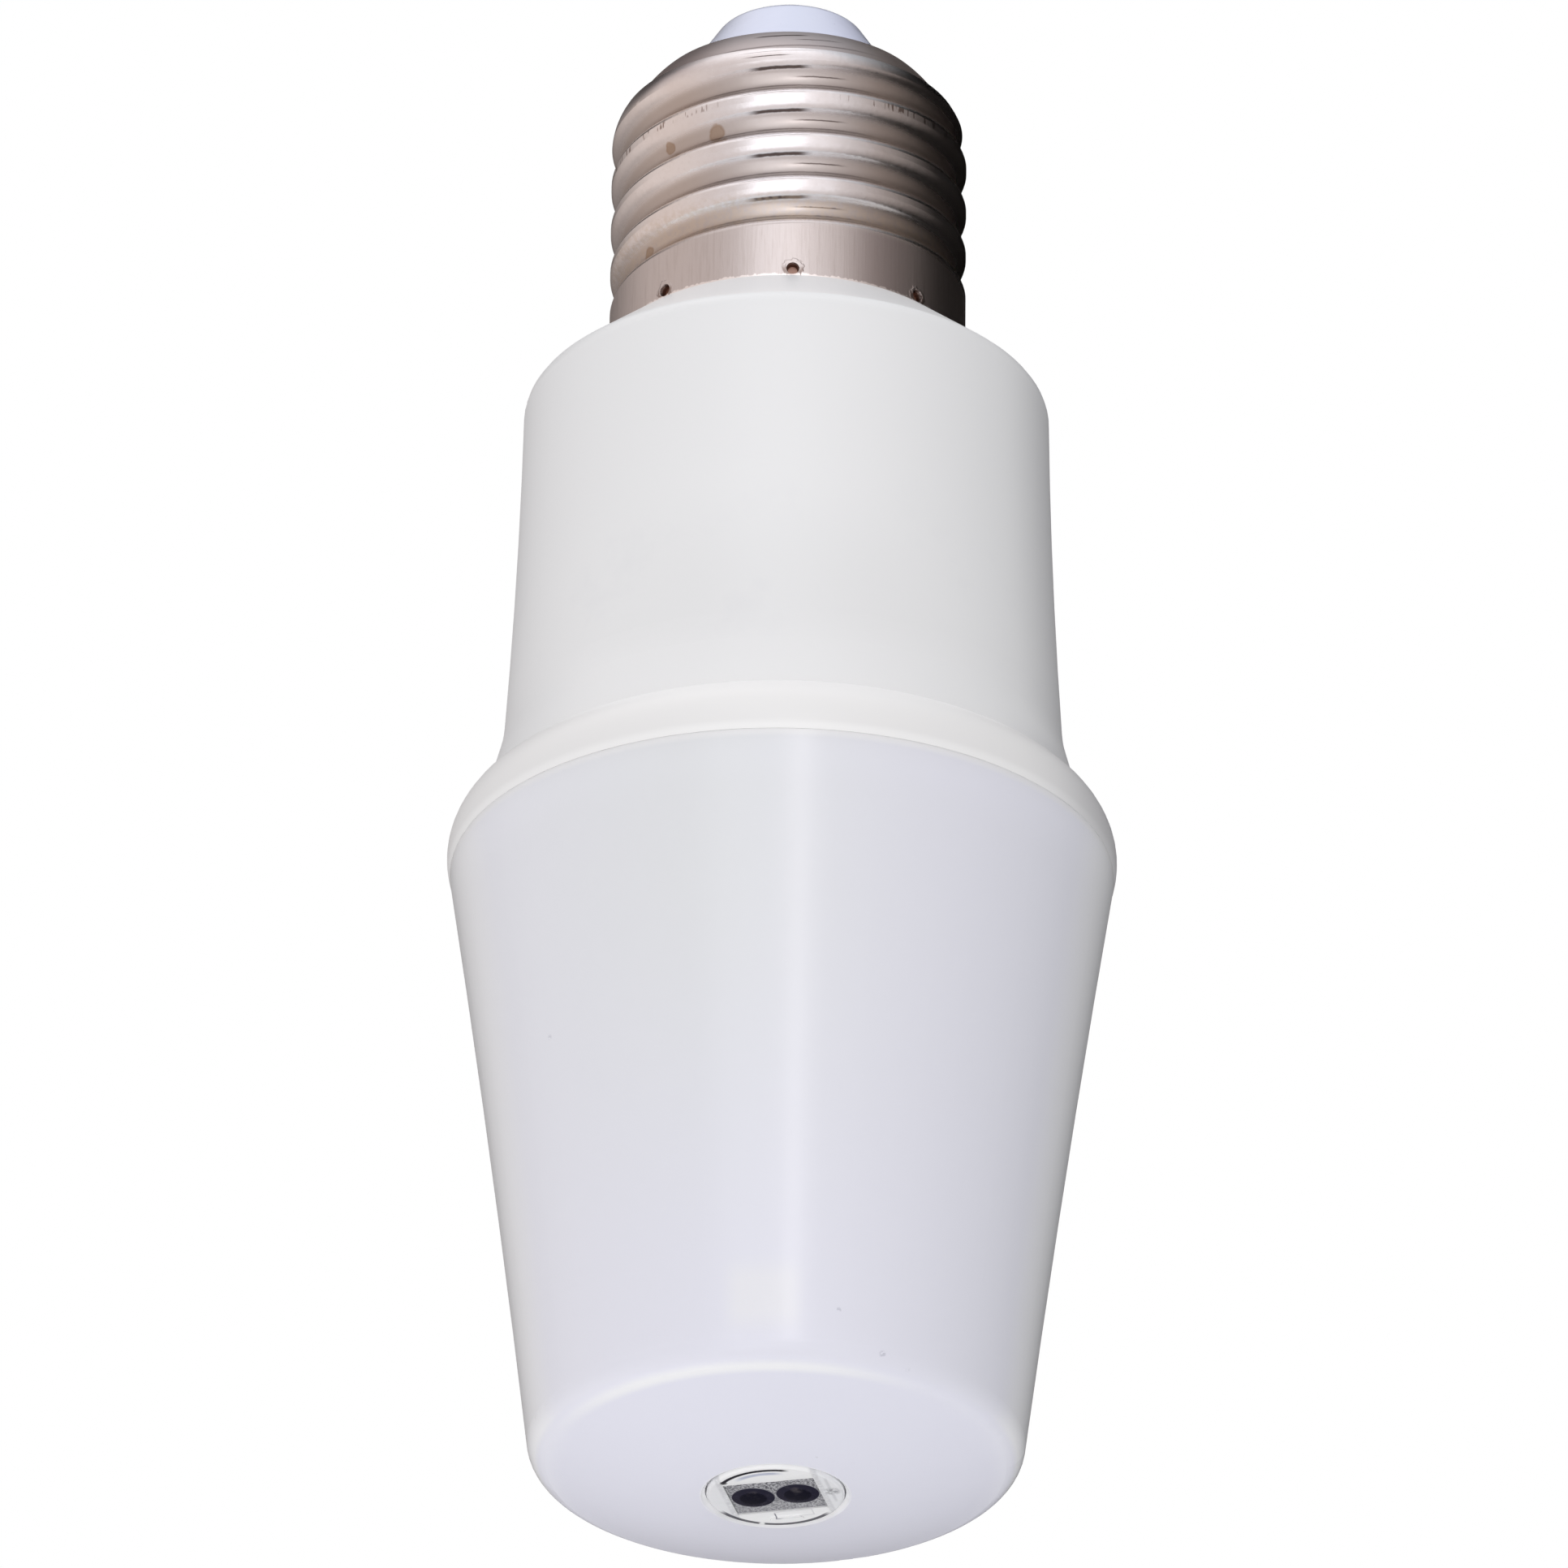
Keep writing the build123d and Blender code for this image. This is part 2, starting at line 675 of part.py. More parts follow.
def make_sensor_holder():
    cup_radius = window_radius + window_flange + holder_gap
    outer = cup_radius + holder_wall
    mouth = dome_height(outer, diffuser_wall) + fit_gap
    socket_radius = stalk_radius + stalk_socket_gap
    socket_top = stalk_tip_height + holder_socket_length
    holder = ring(0, outer, mouth, stalk_tip_height)
    holder += ring(0, socket_radius + holder_wall, stalk_tip_height, socket_top)
    holder -= ring(0, cup_radius, mouth - 1, holder_floor_height)
    holder -= ring(0, stalk_bore_radius, holder_floor_height - 1, stalk_tip_height + 1)
    holder -= ring(0, socket_radius, stalk_tip_height, socket_top + 1)
    return holder


def make_sensor_stalk():
    foot_low = light_face_height - stalk_foot_thickness
    stalk = ring(0, stalk_radius, stalk_tip_height, light_face_height)
    stalk += ring(0, stalk_foot_radius, foot_low, light_face_height)
    stalk -= ring(0, stalk_bore_radius, stalk_tip_height - 1, light_face_height + 1)
    return stalk - spread(ring(0, screw_radius + screw_hole_gap, foot_low - 1, light_face_height + 1),
                          2, screw_ring_radius)


def make_sensor_wires():
    wire = ring(0, sensor_wire_radius, window_back_height, board_foot_height + lead_overlap)
    return Compound([Pos(index * sensor_wire_spacing, -lead_line(sensor_wire_radius), 0) * wire
                     for index in (-1, 0, 1)])


# Driver


def make_driver_board():
    lower = block(-board_half_width, board_half_width, -board_face, board_face,
                  board_foot_height, board_step_height)
    upper = block(-board_cap_half_width, board_cap_half_width, -board_face, board_face,
                  board_step_height, board_top())
    return lower + upper


def board_part(width, depth, height, lift, side, face, gap=0):
    """Block on one face of the board, in from its left or right edge and up from its foot."""
    x = side * (part_limit - width / 2)
    near = face * (board_face + gap)
    ys = sorted((near, near + face * depth))
    low = board_foot_height + lift
    return block(x - width / 2, x + width / 2, *ys, low, low + height)


def make_can(radius, length, lift, face):
    """Electrolytic capacitor that lies on one face of the board, along Z."""
    low = board_foot_height + lift
    can = ring(0, radius, low, low + length)
    can = fillet(can.edges().filter_by(GeomType.CIRCLE), radius * 0.12)
    return Pos(part_limit - radius, face * lead_line(radius), 0) * can


def make_bulk_capacitor():
    return make_can(bulk_capacitor_radius, bulk_capacitor_length, bulk_capacitor_lift, 1)


def make_output_capacitor():
    return make_can(output_capacitor_radius, output_capacitor_length, output_capacitor_lift, -1)


def make_transformer_core():
    """Two E-shaped ferrites, joined into a figure of eight round the coil."""
    gap = coil_wall + coil_swell
    core = board_part(transformer_width, transformer_depth, transformer_height, transformer_lift, -1, 1, gap)
    middle = core.center()
    opening = (transformer_width - 4 * transformer_yoke) / 2
    window = Box(opening, transformer_depth + 2, transformer_height - 2 * transformer_yoke)
    for side in (-1, 1):
        core -= Pos(middle.X + side * (transformer_yoke + opening / 2), middle.Y, middle.Z) * window
    return core


def make_transformer_coil():
    """Winding round the middle leg, with the bobbin's foot down to the board."""
    width = transformer_width - 2 * transformer_yoke - 2 * coil_gap
    height = transformer_height - 2 * transformer_yoke - 2 * coil_gap
    x = transformer_width / 2 - part_limit
    z = board_foot_height + transformer_lift + transformer_height / 2
    near = board_face + coil_wall
    far = near + transformer_depth + 2 * coil_swell
    leg = transformer_yoke + coil_gap
    coil = block(x - width / 2, x + width / 2, near, far, z - height / 2, z + height / 2)
    coil = fillet(coil.edges().filter_by(Axis.Z), coil_swell / 2)
    coil -= block(x - leg, x + leg, near + coil_swell - coil_gap, far - coil_swell + coil_gap,
                  z - height, z + height)
    return coil + block(x - width / 2, x + width / 2, board_face, near + coil_wall,
                        z - height / 3, z + height / 3)


def make_film_capacitor():
    width, depth, height = film_capacitor_size
    lift = transformer_lift + transformer_height + film_capacitor_lift
    body = board_part(width, depth, height, lift, -1, 1)
    return fillet(body.edges().filter_by(Axis.Y), depth / 8)


def make_bridge_rectifier():
    width, depth, height = rectifier_size
    body = board_part(width, depth, height, rectifier_lift, -1, -1)
    return chamfer(body.faces().sort_by(Axis.Y)[0].edges(), depth / 8)


def make_driver_chip():
    width, depth, height = chip_size
    leg_width, leg_thickness, leg_length = chip_leg_size
    body = board_part(width, depth - leg_thickness, height, chip_lift, -1, -1, leg_thickness)
    x = width / 2 - part_limit
    z = board_foot_height + chip_lift + height / 2
    for side in (-1, 1):
        for index in range(chip_legs_a_side):
            middle = x + (index - (chip_legs_a_side - 1) / 2) * chip_leg_pitch
            ends = sorted((z + side * (height / 2 - leg_width), z + side * (height / 2 + leg_length)))
            body += block(middle - leg_width / 2, middle + leg_width / 2,
                          -board_face - 2 * leg_thickness, -board_face, *ends)
    return body


def make_fuse_resistor():
    half = fuse_length / 2
    body = ring(0, fuse_radius, -half, half)
    body = fillet(body.edges().filter_by(GeomType.CIRCLE), fuse_radius * 0.4)
    body += ring(0, fuse_lead_radius, half - fuse_radius, half + fuse_lead_length)
    body += ring(0, fuse_lead_radius, -half - fuse_lead_length, fuse_radius - half)
    return Pos(0, lead_line(fuse_radius), board_top() - fuse_drop - half) * body


def make_live_lead():
    return ring(0, wire_radius, board_top(), insulator_foot() - contact_shank_reach)


def make_neutral_lead():
    """Wire from the board over the spigot's top edge to the inside of the shell."""
    line = lead_line(neutral_wire_radius)
    x = board_cap_half_width - neutral_wire_inset
    bend = neutral_wire_bend
    run_height = spigot_top() + neutral_wire_rise
    reach = crest_radius - cap_sheet - fit_gap - neutral_wire_radius
    rise = Line((x, line, board_top() - lead_overlap), (x, line, run_height - bend))
    middle = bend * (1 - math.sqrt(0.5))
    corner = ThreePointArc((x, line, run_height - bend), (x + middle, line, run_height - middle),
                           (x + bend, line, run_height))
    run = Line((x + bend, line, run_height), (math.sqrt(reach ** 2 - line ** 2), line, run_height))
    section = Plane(rise @ 0, z_dir=(0, 0, 1)) * Circle(neutral_wire_radius)
    return sweep(section, path=rise + corner + run)


def main():
    os.makedirs("parts", exist_ok=True)
    nodes = {
        "cap_shell": make_cap_shell(),
        "cap_insulator": make_cap_insulator(),
        "centre_contact": make_centre_contact(),
        "housing": make_housing(),
        "diffuser": make_diffuser(),
        "sensor_window": make_sensor_window(),
        "sensor_plate": make_sensor_plate(),
        "infrared_emitter": make_optic(-1),
        "infrared_receiver": make_optic(1),
        "sensor_board": make_sensor_board(),
        "sensor_chip": make_sensor_chip(),
        "sensor_holder": make_sensor_holder(),
        "sensor_stalk": make_sensor_stalk(),
        "sensor_wires": make_sensor_wires(),
        "heat_sink": make_heat_sink(),
        "led_board": make_led_board(),
        "led_chips": make_led_chips(),
        "board_screws": make_board_screws(),
        "led_leads": make_led_leads(),
        "driver_board": make_driver_board(),
        "bulk_capacitor": make_bulk_capacitor(),
        "output_capacitor": make_output_capacitor(),
        "transformer_core": make_transformer_core(),
        "transformer_coil": make_transformer_coil(),
        "film_capacitor": make_film_capacitor(),
        "bridge_rectifier": make_bridge_rectifier(),
        "driver_chip": make_driver_chip(),
        "fuse_resistor": make_fuse_resistor(),
        "live_lead": make_live_lead(),
        "neutral_lead": make_neutral_lead(),
    }
    for name, shape in nodes.items():
        export_step(shape, f"parts/{name}.step")


main()
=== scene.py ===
import bpy
import math
from mathutils import Matrix, Vector


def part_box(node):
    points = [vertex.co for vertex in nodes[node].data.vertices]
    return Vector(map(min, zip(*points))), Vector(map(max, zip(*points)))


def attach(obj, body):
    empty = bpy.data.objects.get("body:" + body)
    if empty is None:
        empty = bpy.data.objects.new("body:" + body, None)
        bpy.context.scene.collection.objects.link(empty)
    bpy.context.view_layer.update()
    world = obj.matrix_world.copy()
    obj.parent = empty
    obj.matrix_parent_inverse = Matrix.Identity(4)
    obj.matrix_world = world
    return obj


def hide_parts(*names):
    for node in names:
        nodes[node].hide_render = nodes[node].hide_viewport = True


# Looks of the motion sensor LED bulb. Objects are in metres, and places in the materials are in millimetres.
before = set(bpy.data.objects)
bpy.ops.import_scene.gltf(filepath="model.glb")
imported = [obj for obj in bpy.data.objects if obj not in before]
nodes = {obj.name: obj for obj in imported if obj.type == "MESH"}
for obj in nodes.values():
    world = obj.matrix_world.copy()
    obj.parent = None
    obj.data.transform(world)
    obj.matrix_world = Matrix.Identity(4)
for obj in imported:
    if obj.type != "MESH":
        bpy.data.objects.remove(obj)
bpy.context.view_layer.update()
millimetres = 1000.0


# Node graphs


class Graph:
    """Short hand for a node tree whose inputs are constants or other nodes' outputs."""

    def __init__(self, tree):
        self.tree = tree
        tree.nodes.clear()

    def add(self, kind, inputs=(), **settings):
        node = self.tree.nodes.new(kind)
        for name, value in settings.items():
            setattr(node, name, value)
        for key, value in dict(inputs).items():
            if isinstance(value, bpy.types.NodeSocket):
                self.tree.links.new(value, node.inputs[key])
            else:
                node.inputs[key].default_value = value
        return node

    def math(self, operation, *values):
        return self.add("ShaderNodeMath", enumerate(values), operation=operation).outputs[0]

    def chain(self, operation, values):
        result = values[0]
        for value in values[1:]:
            result = self.math(operation, result, value)
        return result

    def total(self, *values):
        return self.chain("ADD", values)

    def product(self, *values):
        return self.chain("MULTIPLY", values)

    def difference(self, first, second):
        return self.math("SUBTRACT", first, second)

    def size(self, value):
        return self.math("ABSOLUTE", value)

    def length(self, first, second):
        """Length of a flat vector."""
        return self.math("SQRT", self.total(self.product(first, first), self.product(second, second)))

    def step(self, value, low, high, start=0.0, end=1.0):
        """Smooth change from start to end while the value goes from low to high."""
        node = self.add("ShaderNodeMapRange", {0: value, 1: low, 2: high, 3: start, 4: end})
        node.interpolation_type = "SMOOTHSTEP"
        return node.outputs[0]

    def fall(self, value, low, high, start=1.0):
        """Smooth fall to zero while the value goes from low to high."""
        return self.step(value, low, high, start, 0.0)

    def band(self, value, low, high, soft):
        """One between two values, zero outside them, with soft edges."""
        rise = self.step(value, low - soft, low + soft)
        return self.product(rise, self.fall(value, high - soft, high + soft))

    def blend(self, kind, factor, first, second):
        node = self.add("ShaderNodeMix", data_type="RGBA", blend_type=kind)
        for index, value in ((0, factor), (6, first), (7, second)):
            if isinstance(value, bpy.types.NodeSocket):
                self.tree.links.new(value, node.inputs[index])
            else:
                node.inputs[index].default_value = value if index == 0 else (*value, 1.0)
        return node.outputs[2]

    def mix(self, factor, first, second):
        return self.blend("MIX", factor, first, second)

    def paint(self, colour, shade, *masks):
        """The colour covered by a shade as far as the product of the masks says."""
        return self.blend("MIX", self.product(*masks), colour, shade)

    def tint(self, colour, shade, *masks):
        """The colour multiplied by a shade as far as the product of the masks says."""
        return self.blend("MULTIPLY", self.product(*masks), colour, shade)

    def vector(self, x, y, z):
        return self.add("ShaderNodeCombineXYZ", {0: x, 1: y, 2: z}).outputs[0]

    def split(self, vector):
        return self.add("ShaderNodeSeparateXYZ", {0: vector}).outputs[:3]

    def scaled(self, vector, scale):
        return self.add("ShaderNodeVectorMath", {0: vector, "Scale": scale}, operation="SCALE").outputs[0]

    def distance(self, first, second):
        return self.add("ShaderNodeVectorMath", {0: first, 1: second}, operation="DISTANCE").outputs[1]

    def place(self):
        """The point on the surface in millimetres, in the part's own frame."""
        return self.scaled(self.add("ShaderNodeTexCoord").outputs["Object"], millimetres)

    def round_place(self):
        """Angle from the front in radians, distance from the axis and height, in millimetres."""
        x, y, z = self.split(self.place())
        angle = self.math("ARCTAN2", x, self.product(y, -1.0))
        return angle, self.length(x, y), z

    def near(self, point, soft_from, soft_to):
        """One near a point in millimetres, falling to zero between two distances."""
        return self.fall(self.distance(self.place(), point), soft_from, soft_to)

    def noise(self, vector, scale, detail=3.0, roughness=0.5):
        return self.add("ShaderNodeTexNoise", {"Vector": vector, "Scale": scale, "Detail": detail,
                                               "Roughness": roughness}).outputs[0]

    def shake(self, noise, amount):
        """A noise moved to lie around zero, times an amount."""
        return self.product(self.difference(noise, 0.5), amount)

    def bump(self, height, distance):
        return self.add("ShaderNodeBump", {"Distance": distance, "Height": height}).outputs[0]

    def shader(self, colour, roughness, normal=None, **constants):
        """Principled shader; a constant's name has underscores for the spaces in its socket's name."""
        inputs = {name.replace("_", " "): value for name, value in constants.items()}
        inputs.update({"Base Color": colour, "Roughness": roughness})
        if normal is not None:
            inputs["Normal"] = normal
        return self.add("ShaderNodeBsdfPrincipled", inputs).outputs[0]

    def output(self, shader):
        self.add("ShaderNodeOutputMaterial", {0: shader})

    def surface(self, colour, roughness, normal, **constants):
        self.output(self.shader(colour, roughness, normal, **constants))


def material(name):
    made = bpy.data.materials.new(name)
    made.use_nodes = True
    return made, Graph(made.node_tree)


def dress(node, finish):
    """Give a CAD node its finish."""
    mesh = nodes[node].data
    mesh.materials.clear()
    mesh.materials.append(finish)


def box_of(node):
    """Lowest and highest corner of a node's box, in millimetres."""
    low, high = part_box(node)
    return low * millimetres, high * millimetres


def link(made):
    bpy.context.scene.collection.objects.link(made)
    return made


# Camera: below the bulb, looking up at it through a long lens


photo_side = 1932
camera_distance = 1.4089967
camera_height = -0.7581083
camera_tilt = 0.474228
camera_roll = 0.0102239
focal_length_in_pixels = 26858.717
sensor_width = 36
picture_shift = 0.00076


def photo_camera():
    camera = link(bpy.data.objects.new("camera", bpy.data.cameras.new("camera")))
    turn = Matrix.Rotation(math.pi / 2 + camera_tilt, 4, "X") @ Matrix.Rotation(camera_roll, 4, "Z")
    camera.matrix_world = Matrix.Translation((0, -camera_distance, camera_height)) @ turn
    camera.data.sensor_width = sensor_width
    camera.data.lens = sensor_width * focal_length_in_pixels / photo_side
    camera.data.shift_x = picture_shift
    camera.data.clip_start = 0.05
    camera.data.clip_end = 50
    bpy.context.scene.camera = camera


# Studio: what the surfaces reflect, what lights them, and the white behind the object


warm_light = (1.0, 0.88, 0.84)
cool_light = (0.96, 1.0, 1.06)
floor_height = -1.2
floor_reach = 6.0


def reflected_tent(g, azimuth, height):
    """Colour that a reflecting surface sees in each direction, given in degrees."""

    def panel(left, right, side_soft, foot, top, end_soft):
        return g.product(g.band(azimuth, left, right, side_soft), g.band(height, foot, top, end_soft))

    # walls of the tent: pale on the left and in front, dark on the right and high up behind,
    # with one tone where left and right meet behind the object
    side = g.step(azimuth, 20.0, 112.0, 0.74, 0.012)
    back = g.step(g.size(azimuth), 95.0, 170.0, 1.0, 0.22)
    left_end = g.step(azimuth, -180.0, -166.0, 0.5, 1.0)
    right_end = g.step(azimuth, 166.0, 180.0, 0.0, 0.08)
    high_behind = g.product(g.step(g.size(azimuth), 105.0, 140.0), g.step(height, 30.0, 45.0, 0.0, -0.75))
    wall = g.total(g.product(g.total(g.product(side, back, left_end), right_end), g.total(high_behind, 1.0)),
                   g.product(g.band(azimuth, -105.0, -42.0, 12.0), 0.09))
    # softbox in front with a bright middle, a dimmer part on its right, a narrow strip, and a pale ceiling
    front = g.product(g.band(azimuth, -42.0, 46.0, 16.0), g.fall(height, 60.0, 70.0))
    box = panel(-25.0, 11.0, 7.0, -40.0, 54.0, 9.0)
    fill = panel(11.0, 31.0, 7.0, -40.0, 54.0, 9.0)
    strip = panel(3.0, 9.0, 3.0, -4.0, 19.0, 5.0)
    ceiling = g.step(height, 50.0, 86.0, 0.0, 0.85)
    warm = g.total(wall, g.product(strip, 1.7))
    cool = g.total(g.product(front, 0.16), g.product(box, 0.72), g.product(fill, 0.22), g.product(strip, 1.5),
                   ceiling)
    # almost nothing comes from straight below
    low = g.step(height, -83.0, -73.0, 0.05, 1.0)
    parts = {0: g.scaled(warm_light, g.product(warm, low)), 1: g.scaled(cool_light, g.product(cool, low))}
    return g.add("ShaderNodeVectorMath", parts, operation="ADD").outputs[0]


def even_light(g, heading, azimuth, height):
    """Strength of the light that falls on matt surfaces: soft from above, below, in front and behind."""
    x, y, z = heading
    front_and_back = g.product(y, y, 0.62)
    above_and_below = g.product(z, z, 1.153)
    right_front = g.product(g.band(azimuth, 30.0, 65.0, 10.0), 0.10)
    right_back = g.product(g.band(azimuth, 108.0, 172.0, 12.0), -0.36)
    level = g.band(height, -50.0, 60.0, 15.0)
    return g.total(0.286, front_and_back, above_and_below, g.product(z, 0.13), g.product(x, -0.06),
                   g.fall(height, -88.0, -42.0, 0.26), g.product(level, g.total(right_front, right_back)))


def studio():
    world = bpy.data.worlds.new("studio")
    bpy.context.scene.world = world
    world.use_nodes = True
    world.cycles.sampling_method = "NONE"
    g = Graph(world.node_tree)
    x, y, z = heading = g.split(g.add("ShaderNodeTexCoord").outputs["Generated"])
    azimuth = g.math("DEGREES", g.math("ARCTAN2", x, g.product(y, -1.0)))
    height = g.math("DEGREES", g.math("ARCSINE", z))
    glossy = g.add("ShaderNodeBackground", {0: reflected_tent(g, azimuth, height), 1: 1.0}).outputs[0]
    diffuse = g.add("ShaderNodeBackground", {0: (1.0, 1.0, 1.012, 1.0),
                                             1: even_light(g, heading, azimuth, height)}).outputs[0]
    white = g.add("ShaderNodeBackground", {0: (1.0, 1.0, 1.0, 1.0), 1: 1.0}).outputs[0]
    path = g.add("ShaderNodeLightPath").outputs
    seen = g.math("MAXIMUM", path["Is Camera Ray"], path["Is Transmission Ray"])
    lit = g.add("ShaderNodeMixShader", {0: path["Is Glossy Ray"], 1: diffuse, 2: glossy}).outputs[0]
    whole = g.add("ShaderNodeMixShader", {0: seen, 1: lit, 2: white}).outputs[0]
    g.add("ShaderNodeOutputWorld", {0: whole})


def floor():
    """Plain pale floor far below the lamp, which shows only from above."""
    corners = [(-1, -1), (1, -1), (1, 1), (-1, 1)]
    mesh = bpy.data.meshes.new("floor")
    mesh.from_pydata([(floor_reach * x, floor_reach * y, 0) for x, y in corners], [], [(0, 1, 2, 3)])
    ground = link(bpy.data.objects.new("floor", mesh))
    ground.location = (0, 0, floor_height)
    finish, g = material("floor_pale")
    pale = g.shader(g.mix(g.noise(g.place(), 0.004), (0.86, 0.86, 0.87), (0.89, 0.89, 0.9)), 0.8)
    clear = g.add("ShaderNodeBsdfTransparent").outputs[0]
    backside = g.add("ShaderNodeNewGeometry").outputs["Backfacing"]
    g.output(g.add("ShaderNodeMixShader", {0: backside, 1: pale, 2: clear}).outputs[0])
    mesh.materials.append(finish)
    ground.visible_glossy = False
    ground.visible_diffuse = False


def lamp(name, place, aim, size, power):
    """Soft square lamp that lights the surfaces and doesn't show in them."""
    light = bpy.data.lights.new(name, "AREA")
    light.size = size
    light.energy = power
    holder = link(bpy.data.objects.new(name, light))
    holder.location = place
    holder.rotation_euler = (Vector(aim) - Vector(place)).to_track_quat("-Z", "Y").to_euler()
    holder.visible_glossy = False


photo_camera()
studio()
floor()
lamp("key", (-0.45, -0.55, 0.55), (0, 0, -0.03), 0.5, 0.3)
bpy.context.scene.view_settings.view_transform = "Standard"


# Screw cap


thread_pitch = 3.629
thread_start = 4.8
thread_start_angle = math.radians(155.0 - 270.0)
thread_groove_radius = 12.3
turns_per_radian = 0.5 / math.pi
front_root_height = thread_start - thread_pitch * thread_start_angle * turns_per_radian
skirt_radius = 13.07
band_foot = 19.6
stake_height = 0.68
stake_spacing = math.pi / 4
first_stake_angle = math.radians(1.5)


class CapPlace:
    """Where a point lies round the cap and on its thread, and the masks that several marks share."""

    def __init__(self, g):
        self.angle, self.radius, self.z = g.round_place()
        self.turns = g.math("DIVIDE", g.difference(self.z, front_root_height), thread_pitch)
        # height within one turn of the thread, from one groove's root to the next
        self.phase = g.math("FRACT", g.difference(self.turns, g.product(self.angle, turns_per_radian)))
        self.fine = g.noise(g.place(), 2.4, 3.0, 0.6)
        self.along = g.product(self.angle, 13.0)
        self.front = g.band(self.angle, -0.55, 0.5, 0.2)
        self.band = g.step(self.z, band_foot, band_foot + 0.3)
        self.groove = g.product(g.fall(self.radius, 12.10, 12.62), g.step(self.z, 3.2, 3.8))
        # the plain skirt ends where the first turn starts to dip
        turned = g.math("FLOORED_MODULO", g.difference(self.angle, thread_start_angle), 2 * math.pi)
        wound = g.product(g.total(turned, thread_start_angle), turns_per_radian)
        above = g.difference(self.turns, wound)
        self.skirt = g.product(g.fall(self.z, 4.3, 5.3), g.fall(above, -0.42, -0.22))


def plated_and_shaded(g, cap):
    """Clouded nickel with tarnish and painted shade in the grooves, a greyer painted shade on the band at the
    top with a painted highlight at its front and painted shade on its left, painted shade on the top turn's
    left, and a cooler painted tint at the front.
    """
    cloud = g.noise(g.place(), 0.22, 4.0, 0.6)
    colour = g.mix(g.step(cloud, 0.35, 0.7), (0.80, 0.765, 0.75), (0.75, 0.70, 0.675))
    colour = g.paint(colour, (0.70, 0.645, 0.61), g.step(cap.fine, 0.45, 0.75), 0.3)
    # painted shade: the band at the top is greyer, with a painted highlight at its front and painted shade on
    # its left
    colour = g.paint(colour, (0.70, 0.655, 0.715), cap.band, 0.6)
    colour = g.paint(colour, (0.86, 0.80, 0.83), cap.band, cap.front, 0.5)
    colour = g.tint(colour, (0.72, 0.73, 0.77), cap.band, g.band(cap.angle, -2.3, -0.55, 0.25))
    # tarnish and painted shade in the grooves, a little weaker at the front
    colour = g.paint(colour, (0.40, 0.34, 0.30), cap.groove, g.total(0.8, g.product(cap.front, -0.07)))
    # painted shade on the left of the top turn and the band
    colour = g.tint(colour, (0.82, 0.82, 0.86), g.step(cap.z, 17.6, 18.8),
                    g.band(cap.angle, -2.3, -0.55, 0.2))
    # painted cool light at the front
    return g.tint(colour, (0.95, 0.985, 1.03), cap.front)


def painted_reflection_lines(g, cap):
    """Thin painted dark reflection lines along the flanks and crests, and painted shade at the groove roots,
    broken up.
    """
    ragged = g.total(cap.phase, g.shake(cap.fine, 0.02))
    flank = g.product(g.band(ragged, 0.225, 0.268, 0.010), g.band(cap.angle, -0.22, 0.10, 0.05))
    root = g.product(g.band(ragged, 0.072, 0.098, 0.008), g.band(cap.angle, 0.05, 0.32, 0.06))
    brow = g.product(g.band(ragged, 0.610, 0.624, 0.006), g.band(cap.angle, -0.28, 0.12, 0.06))
    seat = g.product(g.band(ragged, 0.86, 0.90, 0.015), cap.front)
    top = g.product(g.band(ragged, 0.475, 0.50, 0.010), g.band(cap.angle, -0.24, -0.02, 0.05),
                    g.step(cap.turns, 2.9, 3.2))
    lines = g.total(flank, g.product(root, 0.8), g.product(brow, 0.6), g.product(seat, 0.55), top)
    return g.product(lines, g.step(cap.z, 4.6, 5.2))


def stained(g, cap, colour):
    """Three round brown stains on the thread's left, each a little darker round its edge."""
    for stain_angle, stain_height, size in ((-0.455, 13.0, 0.7), (-0.80, 13.03, 0.5), (-1.0, 5.25, 0.6)):
        aside = g.product(g.difference(cap.angle, stain_angle), thread_groove_radius)
        gap = g.total(g.length(aside, g.difference(cap.z, stain_height)), g.shake(cap.fine, 0.25))
        colour = g.tint(colour, (0.66, 0.52, 0.38), g.fall(gap, size * 0.75, size * 1.05, 0.72))
        colour = g.tint(colour, (0.62, 0.48, 0.36), g.band(gap, size * 0.72, size * 0.95, 0.07), 0.25)
    return colour


def stake_rims(g, cap):
    """The metal that the punch pushed up round each dent, all of it, and its lower half, which gets painted
    shade.
    """
    before = first_stake_angle - stake_spacing / 2
    turned = g.math("FLOORED_MODULO", g.difference(cap.angle, before), stake_spacing)
    aside = g.product(g.difference(turned, stake_spacing / 2), skirt_radius)
    above = g.difference(cap.z, stake_height)
    gap = g.total(g.length(aside, above), g.shake(cap.fine, 0.8))
    rims = g.product(g.band(gap, 0.48, 0.74, 0.09),
                     g.step(cap.radius, skirt_radius - 0.17, skirt_radius - 0.07))
    return rims, g.product(rims, g.fall(above, -0.1, 0.3))


def tool_marks(g, cap):
    """Short marks of the rolling tool along the second crest, away from the front."""
    crest = g.band(cap.phase, 0.44, 0.58, 0.03)
    second = g.band(cap.turns, 1.9, 2.9, 0.3)
    marks = g.noise(g.vector(g.product(cap.along, 2.9), g.product(cap.z, 0.4), 3.0), 1.0, 2.0, 0.5)
    aside = g.step(g.size(g.total(cap.angle, 0.05)), 0.25, 0.6)
    return g.product(crest, second, g.step(marks, 0.55, 0.60), aside)


